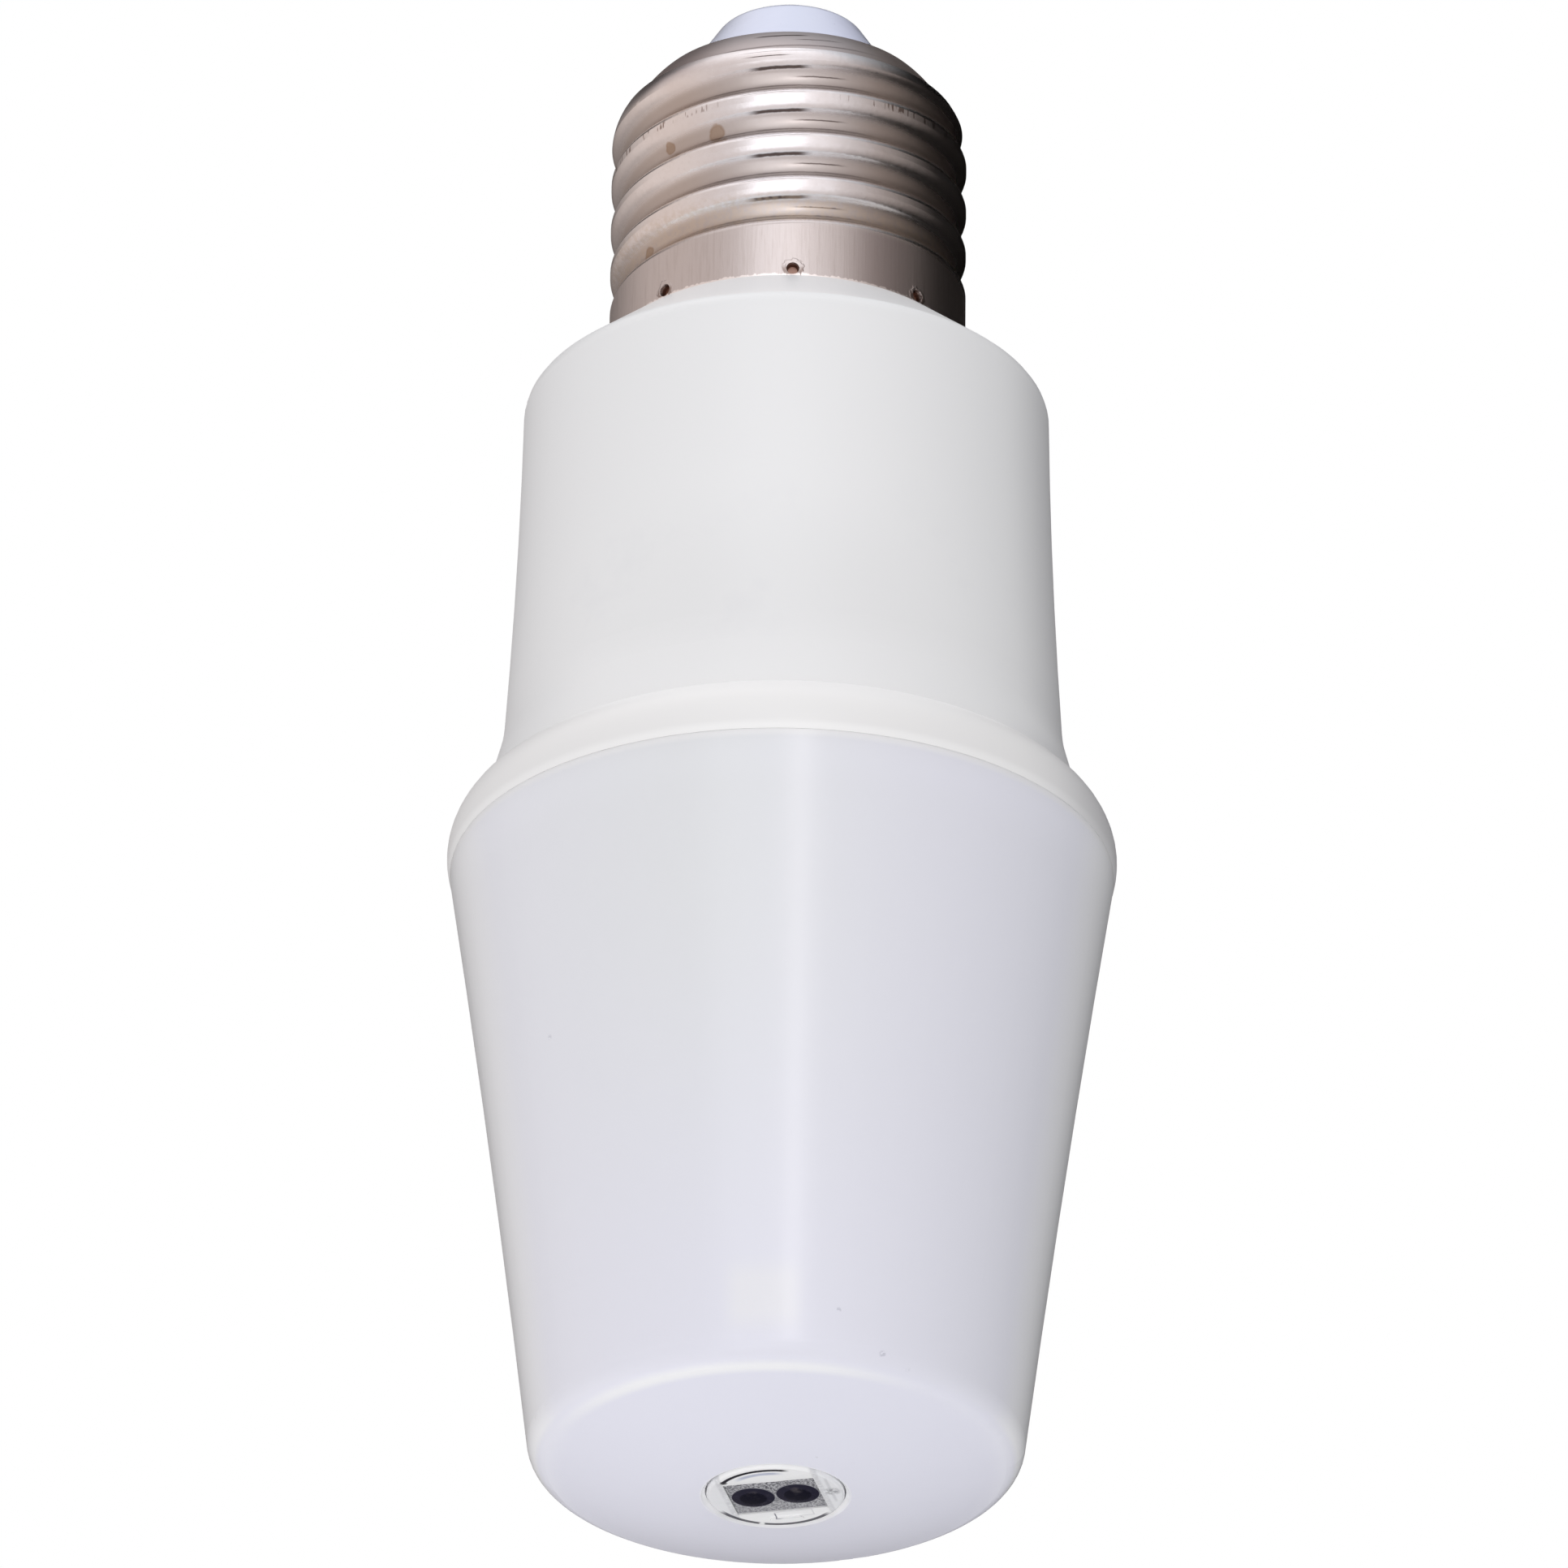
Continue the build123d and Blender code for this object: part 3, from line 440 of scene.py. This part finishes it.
def nickel():
    """Satin nickel with a brushed skirt, stains, tarnish and painted shade in the grooves, painted shade in
    the punched dents, painted dark reflection lines and painted glints.
    """
    finish, g = material("satin_nickel")
    cap = CapPlace(g)
    # the plated colour darkened along thin painted dark reflection lines
    colour = g.tint(plated_and_shaded(g, cap), (0.14, 0.11, 0.10), painted_reflection_lines(g, cap))

    brushed = g.noise(g.vector(g.product(cap.along, 5.5), g.product(cap.z, 0.22), 0.0), 1.0, 4.0, 0.65)
    colour = g.paint(colour, (0.50, 0.455, 0.44), cap.skirt, 0.8)
    # painted shade on the skirt's right
    colour = g.tint(colour, (0.77, 0.75, 0.76), cap.skirt, g.band(cap.angle, 0.40, 0.74, 0.13))
    colour = g.paint(colour, (0.42, 0.375, 0.355), cap.skirt, g.step(brushed, 0.45, 0.75), 0.5)
    # brown film on the lowest turn
    film = g.product(g.step(cap.z, 4.4, 5.2), g.fall(cap.z, 6.6, 7.4), g.step(cap.fine, 0.35, 0.6))
    colour = g.paint(colour, (0.60, 0.50, 0.38), film, 0.30)
    colour = stained(g, cap, colour)
    # dark brown painted shade in the punched dents
    dent = g.product(g.fall(cap.radius, skirt_radius - 0.29, skirt_radius - 0.14), g.fall(cap.z, 1.45, 1.6))
    colour = g.paint(colour, (0.20, 0.10, 0.065), dent, 0.85)
    rims, rim_shade = stake_rims(g, cap)
    # painted shade on the lower half of each rim
    colour = g.tint(colour, (0.35, 0.26, 0.22), rim_shade, 0.7)
    # painted glints along the ragged edge at the skirt's foot
    chips = g.noise(g.vector(g.product(cap.along, 3.0), g.product(cap.z, 2.0), 5.0), 1.0, 3.0, 0.6)
    edge = g.product(g.fall(g.total(cap.z, g.product(chips, -0.55)), -0.06, 0.02), cap.skirt)
    colour = g.paint(colour, (0.92, 0.88, 0.86), edge, 0.75)
    colour = g.tint(colour, (0.38, 0.32, 0.29), tool_marks(g, cap))

    grain = g.noise(g.place(), 9.0, 2.0, 0.6)
    roughness = g.total(0.19, g.product(cap.skirt, 0.09), g.product(cap.band, 0.08),
                        g.product(cap.fine, 0.05), g.product(cap.groove, 0.12))
    height = g.total(g.product(brushed, cap.skirt, 1.6), g.product(grain, 0.35), g.product(cap.fine, 0.5),
                     g.product(rims, 4.5))
    g.surface(colour, roughness, g.bump(height, 0.000006), Metallic=1.0)
    return finish


dress("cap_shell", nickel())


# White plastics


seam = -42.7
diffuser_foot = -89.25
end_edge_radius = 16.45
plug_radius = 4.95
tab_height = 0.12
plug_face = box_of("sensor_window")[0].z + tab_height


def insulator_finish():
    """Glossy bluish glaze with a few dark specks, with painted shade at the front and painted light on the
    left.
    """
    finish, g = material("insulator_glaze")
    angle = g.round_place()[0]
    cloud = g.noise(g.place(), 0.3, 3.0)
    specks = g.step(g.noise(g.place(), 2.2, 2.0), 0.72, 0.78)
    colour = g.mix(cloud, (0.725, 0.755, 0.93), (0.755, 0.78, 0.945))
    # painted shade at the front and painted light on the left
    colour = g.tint(colour, (0.92, 0.925, 0.92), g.band(angle, -0.4, 0.45, 0.35))
    colour = g.paint(colour, (0.84, 0.86, 1.0), g.band(angle, -1.7, -0.5, 0.25), 0.8)
    colour = g.paint(colour, (0.45, 0.46, 0.56), specks, 0.5)
    g.surface(colour, 0.16, g.bump(g.noise(g.place(), 0.8, 2.0), 0.00002),
              Coat_Weight=0.5, Coat_Roughness=0.08)
    return finish


def housing_finish():
    """White plastic that is shaded as in the picture: the shoulder's front, the right side and the flare."""
    finish, g = material("housing_white")
    angle, _, z = g.round_place()
    cloud = g.noise(g.place(), 0.05, 3.0)
    grain = g.noise(g.place(), 3.5, 3.0, 0.6)
    colour = g.mix(cloud, (0.845, 0.845, 0.852), (0.865, 0.865, 0.868))
    # painted warm light on the ridge, and a painted highlight along its edge on the seam
    colour = g.paint(colour, (0.862, 0.854, 0.850), g.fall(z, seam + 3.2, seam + 6.2))
    colour = g.paint(colour, (0.96, 0.955, 0.95), g.fall(z, seam + 0.2, seam + 0.8, 0.75))
    # painted shade on the shoulder's front, the right side, the ridge's right and the neck's front
    colour = g.tint(colour, (0.91, 0.92, 0.93), g.step(z, -6.0, -2.5), g.band(angle, -0.45, 0.45, 0.3))
    colour = g.tint(colour, (0.87, 0.87, 0.875), g.band(angle, 1.12, 1.9, 0.2))
    colour = g.tint(colour, (0.87, 0.87, 0.88), g.band(angle, 0.95, 1.9, 0.2),
                    g.fall(z, seam + 4.7, seam + 7.7))
    colour = g.tint(colour, (0.955, 0.955, 0.955), g.band(angle, -0.5, 0.5, 0.3),
                    g.band(z, seam + 5.7, seam + 18.7, 5.0))
    smudges = g.step(g.noise(g.place(), 0.16, 4.0, 0.65), 0.52, 0.75)
    colour = g.tint(colour, (0.955, 0.955, 0.965), smudges, g.band(z, seam + 8.7, seam + 22.7, 5.0), 0.5)
    g.surface(colour, g.total(0.30, g.product(grain, 0.08)), g.bump(grain, 0.000006), Specular_IOR_Level=0.5)
    return finish


def diffuser_finish():
    """Opal plastic with painted light and shade: neutral on the left, a lavender painted shade on the right
    and lower down, painted light where seen edge on, and painted highlights.
    """
    finish, g = material("diffuser_opal")
    angle, radius, z = g.round_place()
    x = g.split(g.place())[0]
    cloud = g.noise(g.place(), 0.04, 3.0)
    grain = g.noise(g.place(), 5.0, 2.0, 0.5)
    colour = g.mix(cloud, (0.790, 0.802, 0.822), (0.808, 0.818, 0.838))
    # lavender painted shade on the right and lower down
    colour = g.paint(colour, (0.80, 0.80, 0.875), g.step(x, -8.0, 15.0))
    colour = g.paint(colour, (0.805, 0.805, 0.895), g.fall(z, diffuser_foot - 2.75, seam - 7.3))
    # painted light on the cone's left and right, palest at its edges
    sideways = g.math("SINE", angle)
    cone = g.step(radius, 15.0, 17.0)
    colour = g.paint(colour, (0.90, 0.90, 0.985), sideways, sideways, cone, 0.75)
    colour = g.paint(colour, (0.995, 0.995, 1.0), g.step(g.size(sideways), 0.88, 0.99), cone, 0.75)
    # lavender painted shade on the end, and a painted highlight at the foot of the light streak
    colour = g.paint(colour, (0.83, 0.83, 0.935), g.fall(z, diffuser_foot - 0.25, diffuser_foot + 0.15, 0.8))
    foot = g.band(z, diffuser_foot + 2.25, diffuser_foot + 6.45, 1.2)
    colour = g.paint(colour, (0.875, 0.87, 0.875), g.band(angle, -0.19, 0.08, 0.05), foot, 0.5)
    # painted highlights: a soft light line along the end's edge at the front, and painted light along the
    # seam
    corner = g.product(g.band(radius, end_edge_radius - 0.4, end_edge_radius + 0.4, 0.36),
                       g.fall(z, diffuser_foot - 0.05, diffuser_foot + 0.35))
    front = g.total(0.04, g.product(g.band(angle, -0.95, 0.38, 0.4), 0.76))
    colour = g.paint(colour, (0.985, 0.985, 0.99), corner, front)
    colour = g.paint(colour, (0.96, 0.955, 0.96), g.step(z, seam - 0.7, seam - 0.1, 0.0, 0.8))
    # small moulding marks and dirt, of these sizes
    rough = g.step(g.noise(g.place(), 5.0, 2.0), 0.42, 0.56)
    for point, size in (((-16.62, -13.44, -62.32), 0.34), ((4.38, -17.64, -85.71), 0.24),
                        ((7.51, -16.13, -88.46), 0.34), ((9.43, -14.89, -89.25), 0.42)):
        colour = g.paint(colour, (0.42, 0.42, 0.50), g.near(point, size * 0.4, size), rough, 0.45)
    # painted highlight on the edge of the sensor's hole
    halo = g.band(radius, plug_radius - 0.05, plug_radius + 0.39, 0.18)
    colour = g.paint(colour, (0.99, 0.99, 1.0), halo,
                     g.fall(z, diffuser_foot - 1.75, diffuser_foot - 1.35), 0.95)
    specks = g.step(g.noise(g.place(), 0.9, 2.0), 0.80, 0.83)
    colour = g.paint(colour, (0.55, 0.55, 0.6), specks, 0.35)
    g.surface(colour, g.total(0.22, g.product(grain, 0.05)), g.bump(grain, 0.000004),
              Subsurface_Weight=0.25, Subsurface_Scale=0.002, Subsurface_Radius=(1.0, 1.0, 1.0),
              Coat_Weight=0.2, Coat_Roughness=0.12)
    return finish


dress("cap_insulator", insulator_finish())
dress("housing", housing_finish())
dress("diffuser", diffuser_finish())


# Sensor at the tip


sensor_turn = math.radians(-13.2)
lens_radius = 1.56
lens_depth = 0.0003
lens_forward = 0.00044
lens_crown = 0.5
plate_forward = 0.00037


def plug_gap_shade(g, colour, angle, radius):
    """Painted shade in the gap along the plug's far edge, and a dark inner line with a pool of blue at the
    near left.
    """
    far_side = g.step(g.size(angle), 2.1, 2.3)
    nick = g.difference(1.0, g.near((-0.95, 4.52, plug_face), 0.12, 0.28))
    far_gap_shade = g.product(g.band(radius, plug_radius - 0.51, plug_radius + 0.25, 0.04), far_side, nick)
    near_dark_line = g.product(g.band(radius, 4.20, 4.50, 0.04), g.band(angle, -1.08, 0.16, 0.08))
    spike = g.near((-3.72, -2.12, plug_face), 0.14, 0.34)
    pool = g.product(g.band(radius, 3.62, 3.98, 0.12), g.band(angle, -0.78, 0.05, 0.15))
    # painted shade in the gap along the far edge
    colour = g.paint(colour, (0.04, 0.04, 0.06), far_gap_shade, 0.88)
    colour = g.paint(colour, (0.02, 0.02, 0.03), near_dark_line)
    colour = g.paint(colour, (0.02, 0.02, 0.03), spike, 0.9)
    return g.paint(colour, (0.42, 0.45, 0.60), pool, 0.8)


def tab_outline(g, colour, along, across):
    """Outline of the small tab moulded behind the face, with a painted shadow at one corner."""
    gap_along = g.difference(g.size(g.difference(along, 0.68)), 1.4)
    gap_across = g.difference(g.size(g.difference(across, 3.0)), 0.45)
    outline = g.band(g.math("MAXIMUM", gap_along, gap_across), -0.07, 0.03, 0.03)
    colour = g.paint(colour, (0.42, 0.42, 0.46), outline, 0.35)
    # painted shadow at one corner of the outline
    corner = g.product(outline, g.fall(along, -0.55, -0.1), g.step(across, 2.65, 2.85))
    return g.paint(colour, (0.12, 0.12, 0.16), corner, 0.8)


def window_finish():
    """Clear moulded plug, brighter than the dome, with painted shade at its left and right, grey bands beside
    the plate, dark lines, and painted shade in the far gap.
    """
    finish, g = material("window_frosted")
    angle, radius, _ = g.round_place()
    x, y, _ = g.split(g.place())
    along = g.total(g.product(x, math.cos(sensor_turn)), g.product(y, math.sin(sensor_turn)))
    across = g.total(g.product(x, -math.sin(sensor_turn)), g.product(y, math.cos(sensor_turn)))
    aside = g.size(along)
    cloud = g.noise(g.place(), 0.9, 3.0)
    fine = g.noise(g.place(), 3.5, 3.0, 0.6)
    colour = g.mix(cloud, (0.95, 0.95, 0.955), (0.985, 0.985, 0.99))
    # painted shade at the plug's left and right
    colour = g.tint(colour, (0.89, 0.895, 0.915), g.step(aside, 3.1, 3.7))
    # bands where the plug's inner walls show through it, beside the plate
    beside = g.product(g.band(aside, 3.3, 3.72, 0.1), g.step(fine, 0.25, 0.55))
    second = g.product(g.band(along, 4.0, 4.22, 0.08), g.band(across, -2.2, 1.6, 0.3))
    colour = g.paint(colour, (0.50, 0.50, 0.53), g.total(beside, second), 0.42)
    patch = g.near((4.05, -1.0, plug_face), 0.25, 0.75)
    colour = g.paint(colour, (0.26, 0.26, 0.28), patch, g.step(fine, 0.35, 0.55), 0.75)
    colour = plug_gap_shade(g, colour, angle, radius)
    colour = tab_outline(g, colour, along, across)
    g.surface(colour, g.total(0.10, g.product(cloud, 0.06)), g.bump(cloud, 0.00003), IOR=1.49,
              Subsurface_Weight=0.3, Subsurface_Scale=0.001, Subsurface_Radius=(1.0, 1.0, 1.0),
              Coat_Weight=0.6, Coat_Roughness=0.05)
    return finish


def plate_finish():
    """Grey rectangle with a coarse, sandy speckle, with painted light that makes it paler towards the far
    side.
    """
    finish, g = material("plate_grey")
    _, y, _ = g.split(g.place())
    grain = g.noise(g.place(), 5.4, 4.0, 0.75)
    coarse = g.noise(g.place(), 1.2, 2.0)
    colour = g.mix(g.step(grain, 0.43, 0.57), (0.075, 0.075, 0.09), (0.50, 0.50, 0.52))
    # painted light, paler towards the far side
    colour = g.paint(colour, (0.42, 0.42, 0.44), g.step(y, -1.5, 2.6), 0.35)
    colour = g.paint(colour, (0.30, 0.30, 0.32), coarse, 0.2)
    g.surface(colour, 0.6, g.bump(grain, 0.00003), Specular_IOR_Level=0.3)
    return finish


def lens_finish(name, centre):
    """Black glossy lens with the darker disc of its chip behind the surface, a painted highlight, and a
    painted light rim.
    """
    finish, g = material(name)
    x, y, z = centre
    cloud = g.noise(g.place(), 1.6, 3.0)
    flat = g.add("ShaderNodeVectorMath", {0: g.place(), 1: (1.0, 1.0, 0.0)}, operation="MULTIPLY").outputs[0]
    gap = g.distance(flat, (x, y, 0.0))
    lens_highlight = g.near((x - 0.1, y - 0.75, z), 0.1, 0.62)
    colour = g.mix(g.fall(gap, 0.9, 1.05), (0.020, 0.019, 0.034), (0.008, 0.008, 0.016))
    colour = g.paint(colour, (0.05, 0.046, 0.06), g.step(cloud, 0.55, 0.75), 0.35)
    # painted highlight on the lens's front
    colour = g.paint(colour, (0.13, 0.115, 0.12), lens_highlight, g.step(cloud, 0.35, 0.6), 0.6)
    # painted light on the rim
    rim = g.band(gap, lens_radius - 0.02, lens_radius + 0.14, 0.015)
    colour = g.paint(colour, (0.43, 0.43, 0.47), rim, 0.8)
    g.surface(colour, g.total(0.12, g.product(cloud, 0.10)), g.bump(cloud, 0.00002), Specular_IOR_Level=0.12)
    return finish


def middle_of_foot(node):
    """Centre of a node's lower face, in millimetres."""
    low, high = box_of(node)
    return (low.x + high.x) / 2, (low.y + high.y) / 2, low.z


def brought_forward(node, depth, drop, crown, finish):
    """Piece in a node's place: its front, of this depth in metres, is dropped and keeps part of its crown."""
    mesh = nodes[node].data.copy()
    rim = min(vertex.co.z for vertex in mesh.vertices) + depth
    for vertex in mesh.vertices:
        if vertex.co.z < rim + 0.00001:
            vertex.co.z = rim - drop - crown * (rim - vertex.co.z)
    piece = link(bpy.data.objects.new(node + "_front", mesh))
    mesh.materials.clear()
    mesh.materials.append(finish)
    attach(piece, "root")
    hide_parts(node)


dress("sensor_window", window_finish())
brought_forward("sensor_plate", 0.0, plate_forward, 1.0, plate_finish())
for lens in ("infrared_emitter", "infrared_receiver"):
    look = lens_finish("lens_" + lens.split("_")[1], middle_of_foot(lens))
    brought_forward(lens, lens_depth, lens_forward, lens_crown, look)


# Metals and plastics inside


tinned = (0.66, 0.64, 0.60)
chip_count = 12
chip_ring_radius = 15.58
black_wire = (0.02, 0.02, 0.022)
red_wire = (0.55, 0.03, 0.025)
pale_wire = (0.60, 0.60, 0.58)


def metal(name, colour, shade, roughness):
    """Metal with cloudy colour and fine grain."""
    finish, g = material(name)
    cloud = g.noise(g.place(), 0.5, 4.0, 0.6)
    grain = g.noise(g.place(), 6.0, 3.0, 0.6)
    g.surface(g.mix(g.step(cloud, 0.3, 0.7), colour, shade), g.total(roughness, g.product(grain, 0.12)),
              g.bump(grain, 0.00001), Metallic=1.0)
    return finish


def moulded(name, colour, shade, roughness, scale=1.0, depth=0.00001):
    """Plastic or ferrite with slight mottling and grain."""
    finish, g = material(name)
    cloud = g.noise(g.place(), 0.6 * scale, 3.0)
    grain = g.noise(g.place(), 7.0 * scale, 3.0, 0.6)
    g.surface(g.mix(g.step(cloud, 0.35, 0.65), colour, shade), g.total(roughness, g.product(grain, 0.1)),
              g.bump(grain, depth))
    return finish


def board_finish(name, mask, shade):
    """Solder mask over copper tracks, with tinned pads, drawn on the flat of an upright board."""
    finish, g = material(name)
    x, _, z = g.split(g.place())
    flat = g.vector(g.product(x, 0.32), 0.0, g.product(z, 0.32))
    cells = g.add("ShaderNodeTexVoronoi", {"Vector": flat, "Scale": 1.0}, feature="DISTANCE_TO_EDGE",
                  distance="MANHATTAN")
    gap = g.step(cells.outputs["Distance"], 0.03, 0.05)
    weave = g.noise(g.place(), 3.0, 2.0)
    colour = g.paint(g.mix(gap, shade, mask), shade, weave, 0.25)
    across = g.fall(g.math("PINGPONG", x, 1.27), 0.28, 0.36)
    along = g.fall(g.math("PINGPONG", z, 2.54), 0.28, 0.36)
    colour = g.paint(colour, tinned, across, along, g.step(g.noise(g.place(), 0.11, 1.0), 0.5, 0.54))
    g.surface(colour, g.total(0.28, g.product(weave, 0.15)), g.bump(gap, 0.00003))
    return finish


def light_board_finish():
    """White solder mask with a ring of tinned pads under the light-emitting chips, and bare metal above."""
    finish, g = material("light_board_white")
    angle, radius, z = g.round_place()
    grain = g.noise(g.place(), 4.0, 3.0)
    track = g.band(radius, 13.4, 13.9, 0.08)
    between = g.size(g.math("SINE", g.product(angle, chip_count / 2)))
    colour = g.mix(g.product(track, 0.5), (0.86, 0.86, 0.84), (0.74, 0.73, 0.66))
    pads = g.product(g.band(radius, 13.6, 17.3, 0.1), g.fall(between, 0.18, 0.24))
    colour = g.paint(colour, (0.62, 0.60, 0.56), pads, 0.8)
    colour = g.paint(colour, (0.56, 0.56, 0.57), g.step(z, -40.85, -40.75))
    g.surface(colour, g.total(0.32, g.product(grain, 0.1)),
              g.bump(g.total(grain, g.product(track, 4.0)), 0.00001))
    return finish


def chips_finish():
    """White lamp package with a yellow phosphor face."""
    finish, g = material("lamp_phosphor")
    angle, radius, z = g.round_place()
    sector = 2 * math.pi / chip_count
    local = g.difference(g.math("FLOORED_MODULO", angle, sector), sector / 2)
    across = g.size(g.product(g.math("SINE", local), radius))
    out = g.size(g.difference(g.product(g.math("COSINE", local), radius), chip_ring_radius))
    foot = box_of("led_chips")[0].z
    face = g.product(g.fall(z, foot + 0.02, foot + 0.05), g.fall(across, 1.22, 1.34), g.fall(out, 0.92, 1.04))
    grain = g.noise(g.place(), 9.0, 3.0)
    yellow = g.mix(grain, (0.80, 0.58, 0.10), (0.87, 0.68, 0.20))
    g.surface(g.mix(face, (0.84, 0.84, 0.82), yellow), g.total(0.34, g.product(grain, 0.1)),
              g.bump(g.product(grain, face), 0.00002))
    return finish


def can_finish(name, node, stripe_side):
    """Sleeve of an electrolytic capacitor with a dashed pale stripe and bare metal on its end."""
    finish, g = material(name)
    low, high = box_of(node)
    can_radius = (high.x - low.x) / 2
    x, y, z = g.split(g.place())
    aside, behind = g.difference(x, (low.x + high.x) / 2), g.difference(y, (low.y + high.y) / 2)
    around = g.math("ARCTAN2", behind, aside)
    end = g.product(g.step(z, high.z - 0.12, high.z - 0.05),
                    g.fall(g.length(aside, behind), can_radius - 1.0, can_radius - 0.85))
    stripe = g.fall(g.size(g.difference(around, stripe_side)), 0.28, 0.32)
    dash = g.step(g.math("PINGPONG", z, 1.2), 0.45, 0.5)
    grain = g.noise(g.place(), 3.0, 3.0)
    colour = g.mix(grain, (0.012, 0.013, 0.020), (0.022, 0.024, 0.034))
    colour = g.paint(colour, (0.55, 0.56, 0.58), stripe, g.difference(1.0, g.product(dash, 0.35)))
    colour = g.paint(colour, (0.62, 0.62, 0.63), end)
    g.surface(colour, g.total(0.3, g.product(grain, 0.1)), g.bump(grain, 0.00001))
    return finish


def coil_finish():
    """Yellow tape round the winding, on a dark bobbin."""
    finish, g = material("winding_tape")
    x, y, z = g.split(g.place())
    foot = box_of("transformer_coil")[0].z
    wrap = g.noise(g.vector(g.product(x, 0.2), g.product(y, 0.2), g.product(z, 2.0)), 1.0, 3.0)
    edge = g.step(g.math("PINGPONG", g.difference(z, foot), 1.9), 0.05, 0.09)
    colour = g.mix(wrap, (0.72, 0.50, 0.07), (0.82, 0.60, 0.12))
    colour = g.mix(edge, (0.55, 0.36, 0.05), colour)
    colour = g.paint(colour, (0.05, 0.05, 0.055), g.fall(y, 1.1, 1.25))
    g.surface(colour, g.total(0.3, g.product(wrap, 0.1)), g.bump(g.total(wrap, edge), 0.00003))
    return finish


def resistor_finish():
    """Green body with tinned leads."""
    finish, g = material("resistor_green")
    low, high = box_of("fuse_resistor")
    x, y, _ = g.split(g.place())
    radius = g.length(x, g.difference(y, (low.y + high.y) / 2))
    grain = g.noise(g.place(), 5.0, 3.0)
    body = g.mix(grain, (0.05, 0.19, 0.12), (0.08, 0.25, 0.16))
    colour = g.mix(g.step(radius, 0.33, 0.4), (0.66, 0.66, 0.67), body)
    g.surface(colour, g.total(0.36, g.product(grain, 0.1)), g.bump(grain, 0.00002))
    return finish


def wires_finish(name, colours, spacing=1.0):
    """Sleeved wires side by side, each of its own colour."""
    finish, g = material(name)
    x, _, _ = g.split(g.place())
    grain = g.noise(g.place(), 4.0, 2.0)
    colour = colours[0]
    for index, following in enumerate(colours[1:]):
        edge = (index + 0.5 - (len(colours) - 1) / 2) * spacing
        colour = g.paint(colour, following, g.step(x, edge - 0.05, edge + 0.05))
    colour = g.paint(colour, (0.3, 0.3, 0.3), grain, 0.2)
    g.surface(colour, g.total(0.35, g.product(grain, 0.1)), g.bump(grain, 0.00001))
    return finish


dress("centre_contact", metal("contact_tin", (0.74, 0.72, 0.68), (0.62, 0.60, 0.56), 0.22))
dress("heat_sink", metal("sink_aluminium", (0.80, 0.80, 0.81), (0.70, 0.70, 0.72), 0.30))
dress("board_screws", metal("screw_steel", (0.60, 0.59, 0.57), (0.48, 0.47, 0.46), 0.24))
dress("sensor_holder", moulded("holder_white", (0.80, 0.80, 0.79), (0.84, 0.84, 0.83), 0.38))
dress("sensor_stalk", moulded("stalk_white", (0.82, 0.82, 0.81), (0.86, 0.86, 0.85), 0.35))
dress("sensor_chip", moulded("chip_black", (0.016, 0.016, 0.018), (0.026, 0.026, 0.028), 0.45))
dress("driver_chip", moulded("driver_chip_black", (0.016, 0.016, 0.018), (0.03, 0.03, 0.032), 0.45))
dress("bridge_rectifier", moulded("rectifier_black", (0.014, 0.014, 0.016), (0.024, 0.024, 0.026), 0.4))
dress("film_capacitor", moulded("film_capacitor_yellow", (0.74, 0.56, 0.10), (0.80, 0.62, 0.15), 0.32))
dress("transformer_core", moulded("ferrite_grey", (0.05, 0.05, 0.055), (0.09, 0.09, 0.095), 0.5,
                                  scale=1.5, depth=0.00004))
dress("transformer_coil", coil_finish())
dress("bulk_capacitor", can_finish("bulk_sleeve", "bulk_capacitor", 1.4))
dress("output_capacitor", can_finish("output_sleeve", "output_capacitor", -1.4))
dress("fuse_resistor", resistor_finish())
dress("driver_board", board_finish("driver_board_green", (0.03, 0.16, 0.08), (0.045, 0.22, 0.11)))
dress("sensor_board", board_finish("sensor_board_green", (0.03, 0.15, 0.08), (0.045, 0.20, 0.11)))
dress("led_board", light_board_finish())
dress("led_chips", chips_finish())
dress("led_leads", wires_finish("led_lead_sleeves", (black_wire, red_wire), 24.0))
dress("sensor_wires", wires_finish("sensor_wire_sleeves", (black_wire, pale_wire, red_wire), 1.5))
dress("live_lead", wires_finish("live_lead_sleeve", (red_wire,)))
dress("neutral_lead", metal("neutral_lead_copper", (0.72, 0.40, 0.25), (0.60, 0.32, 0.20), 0.25))
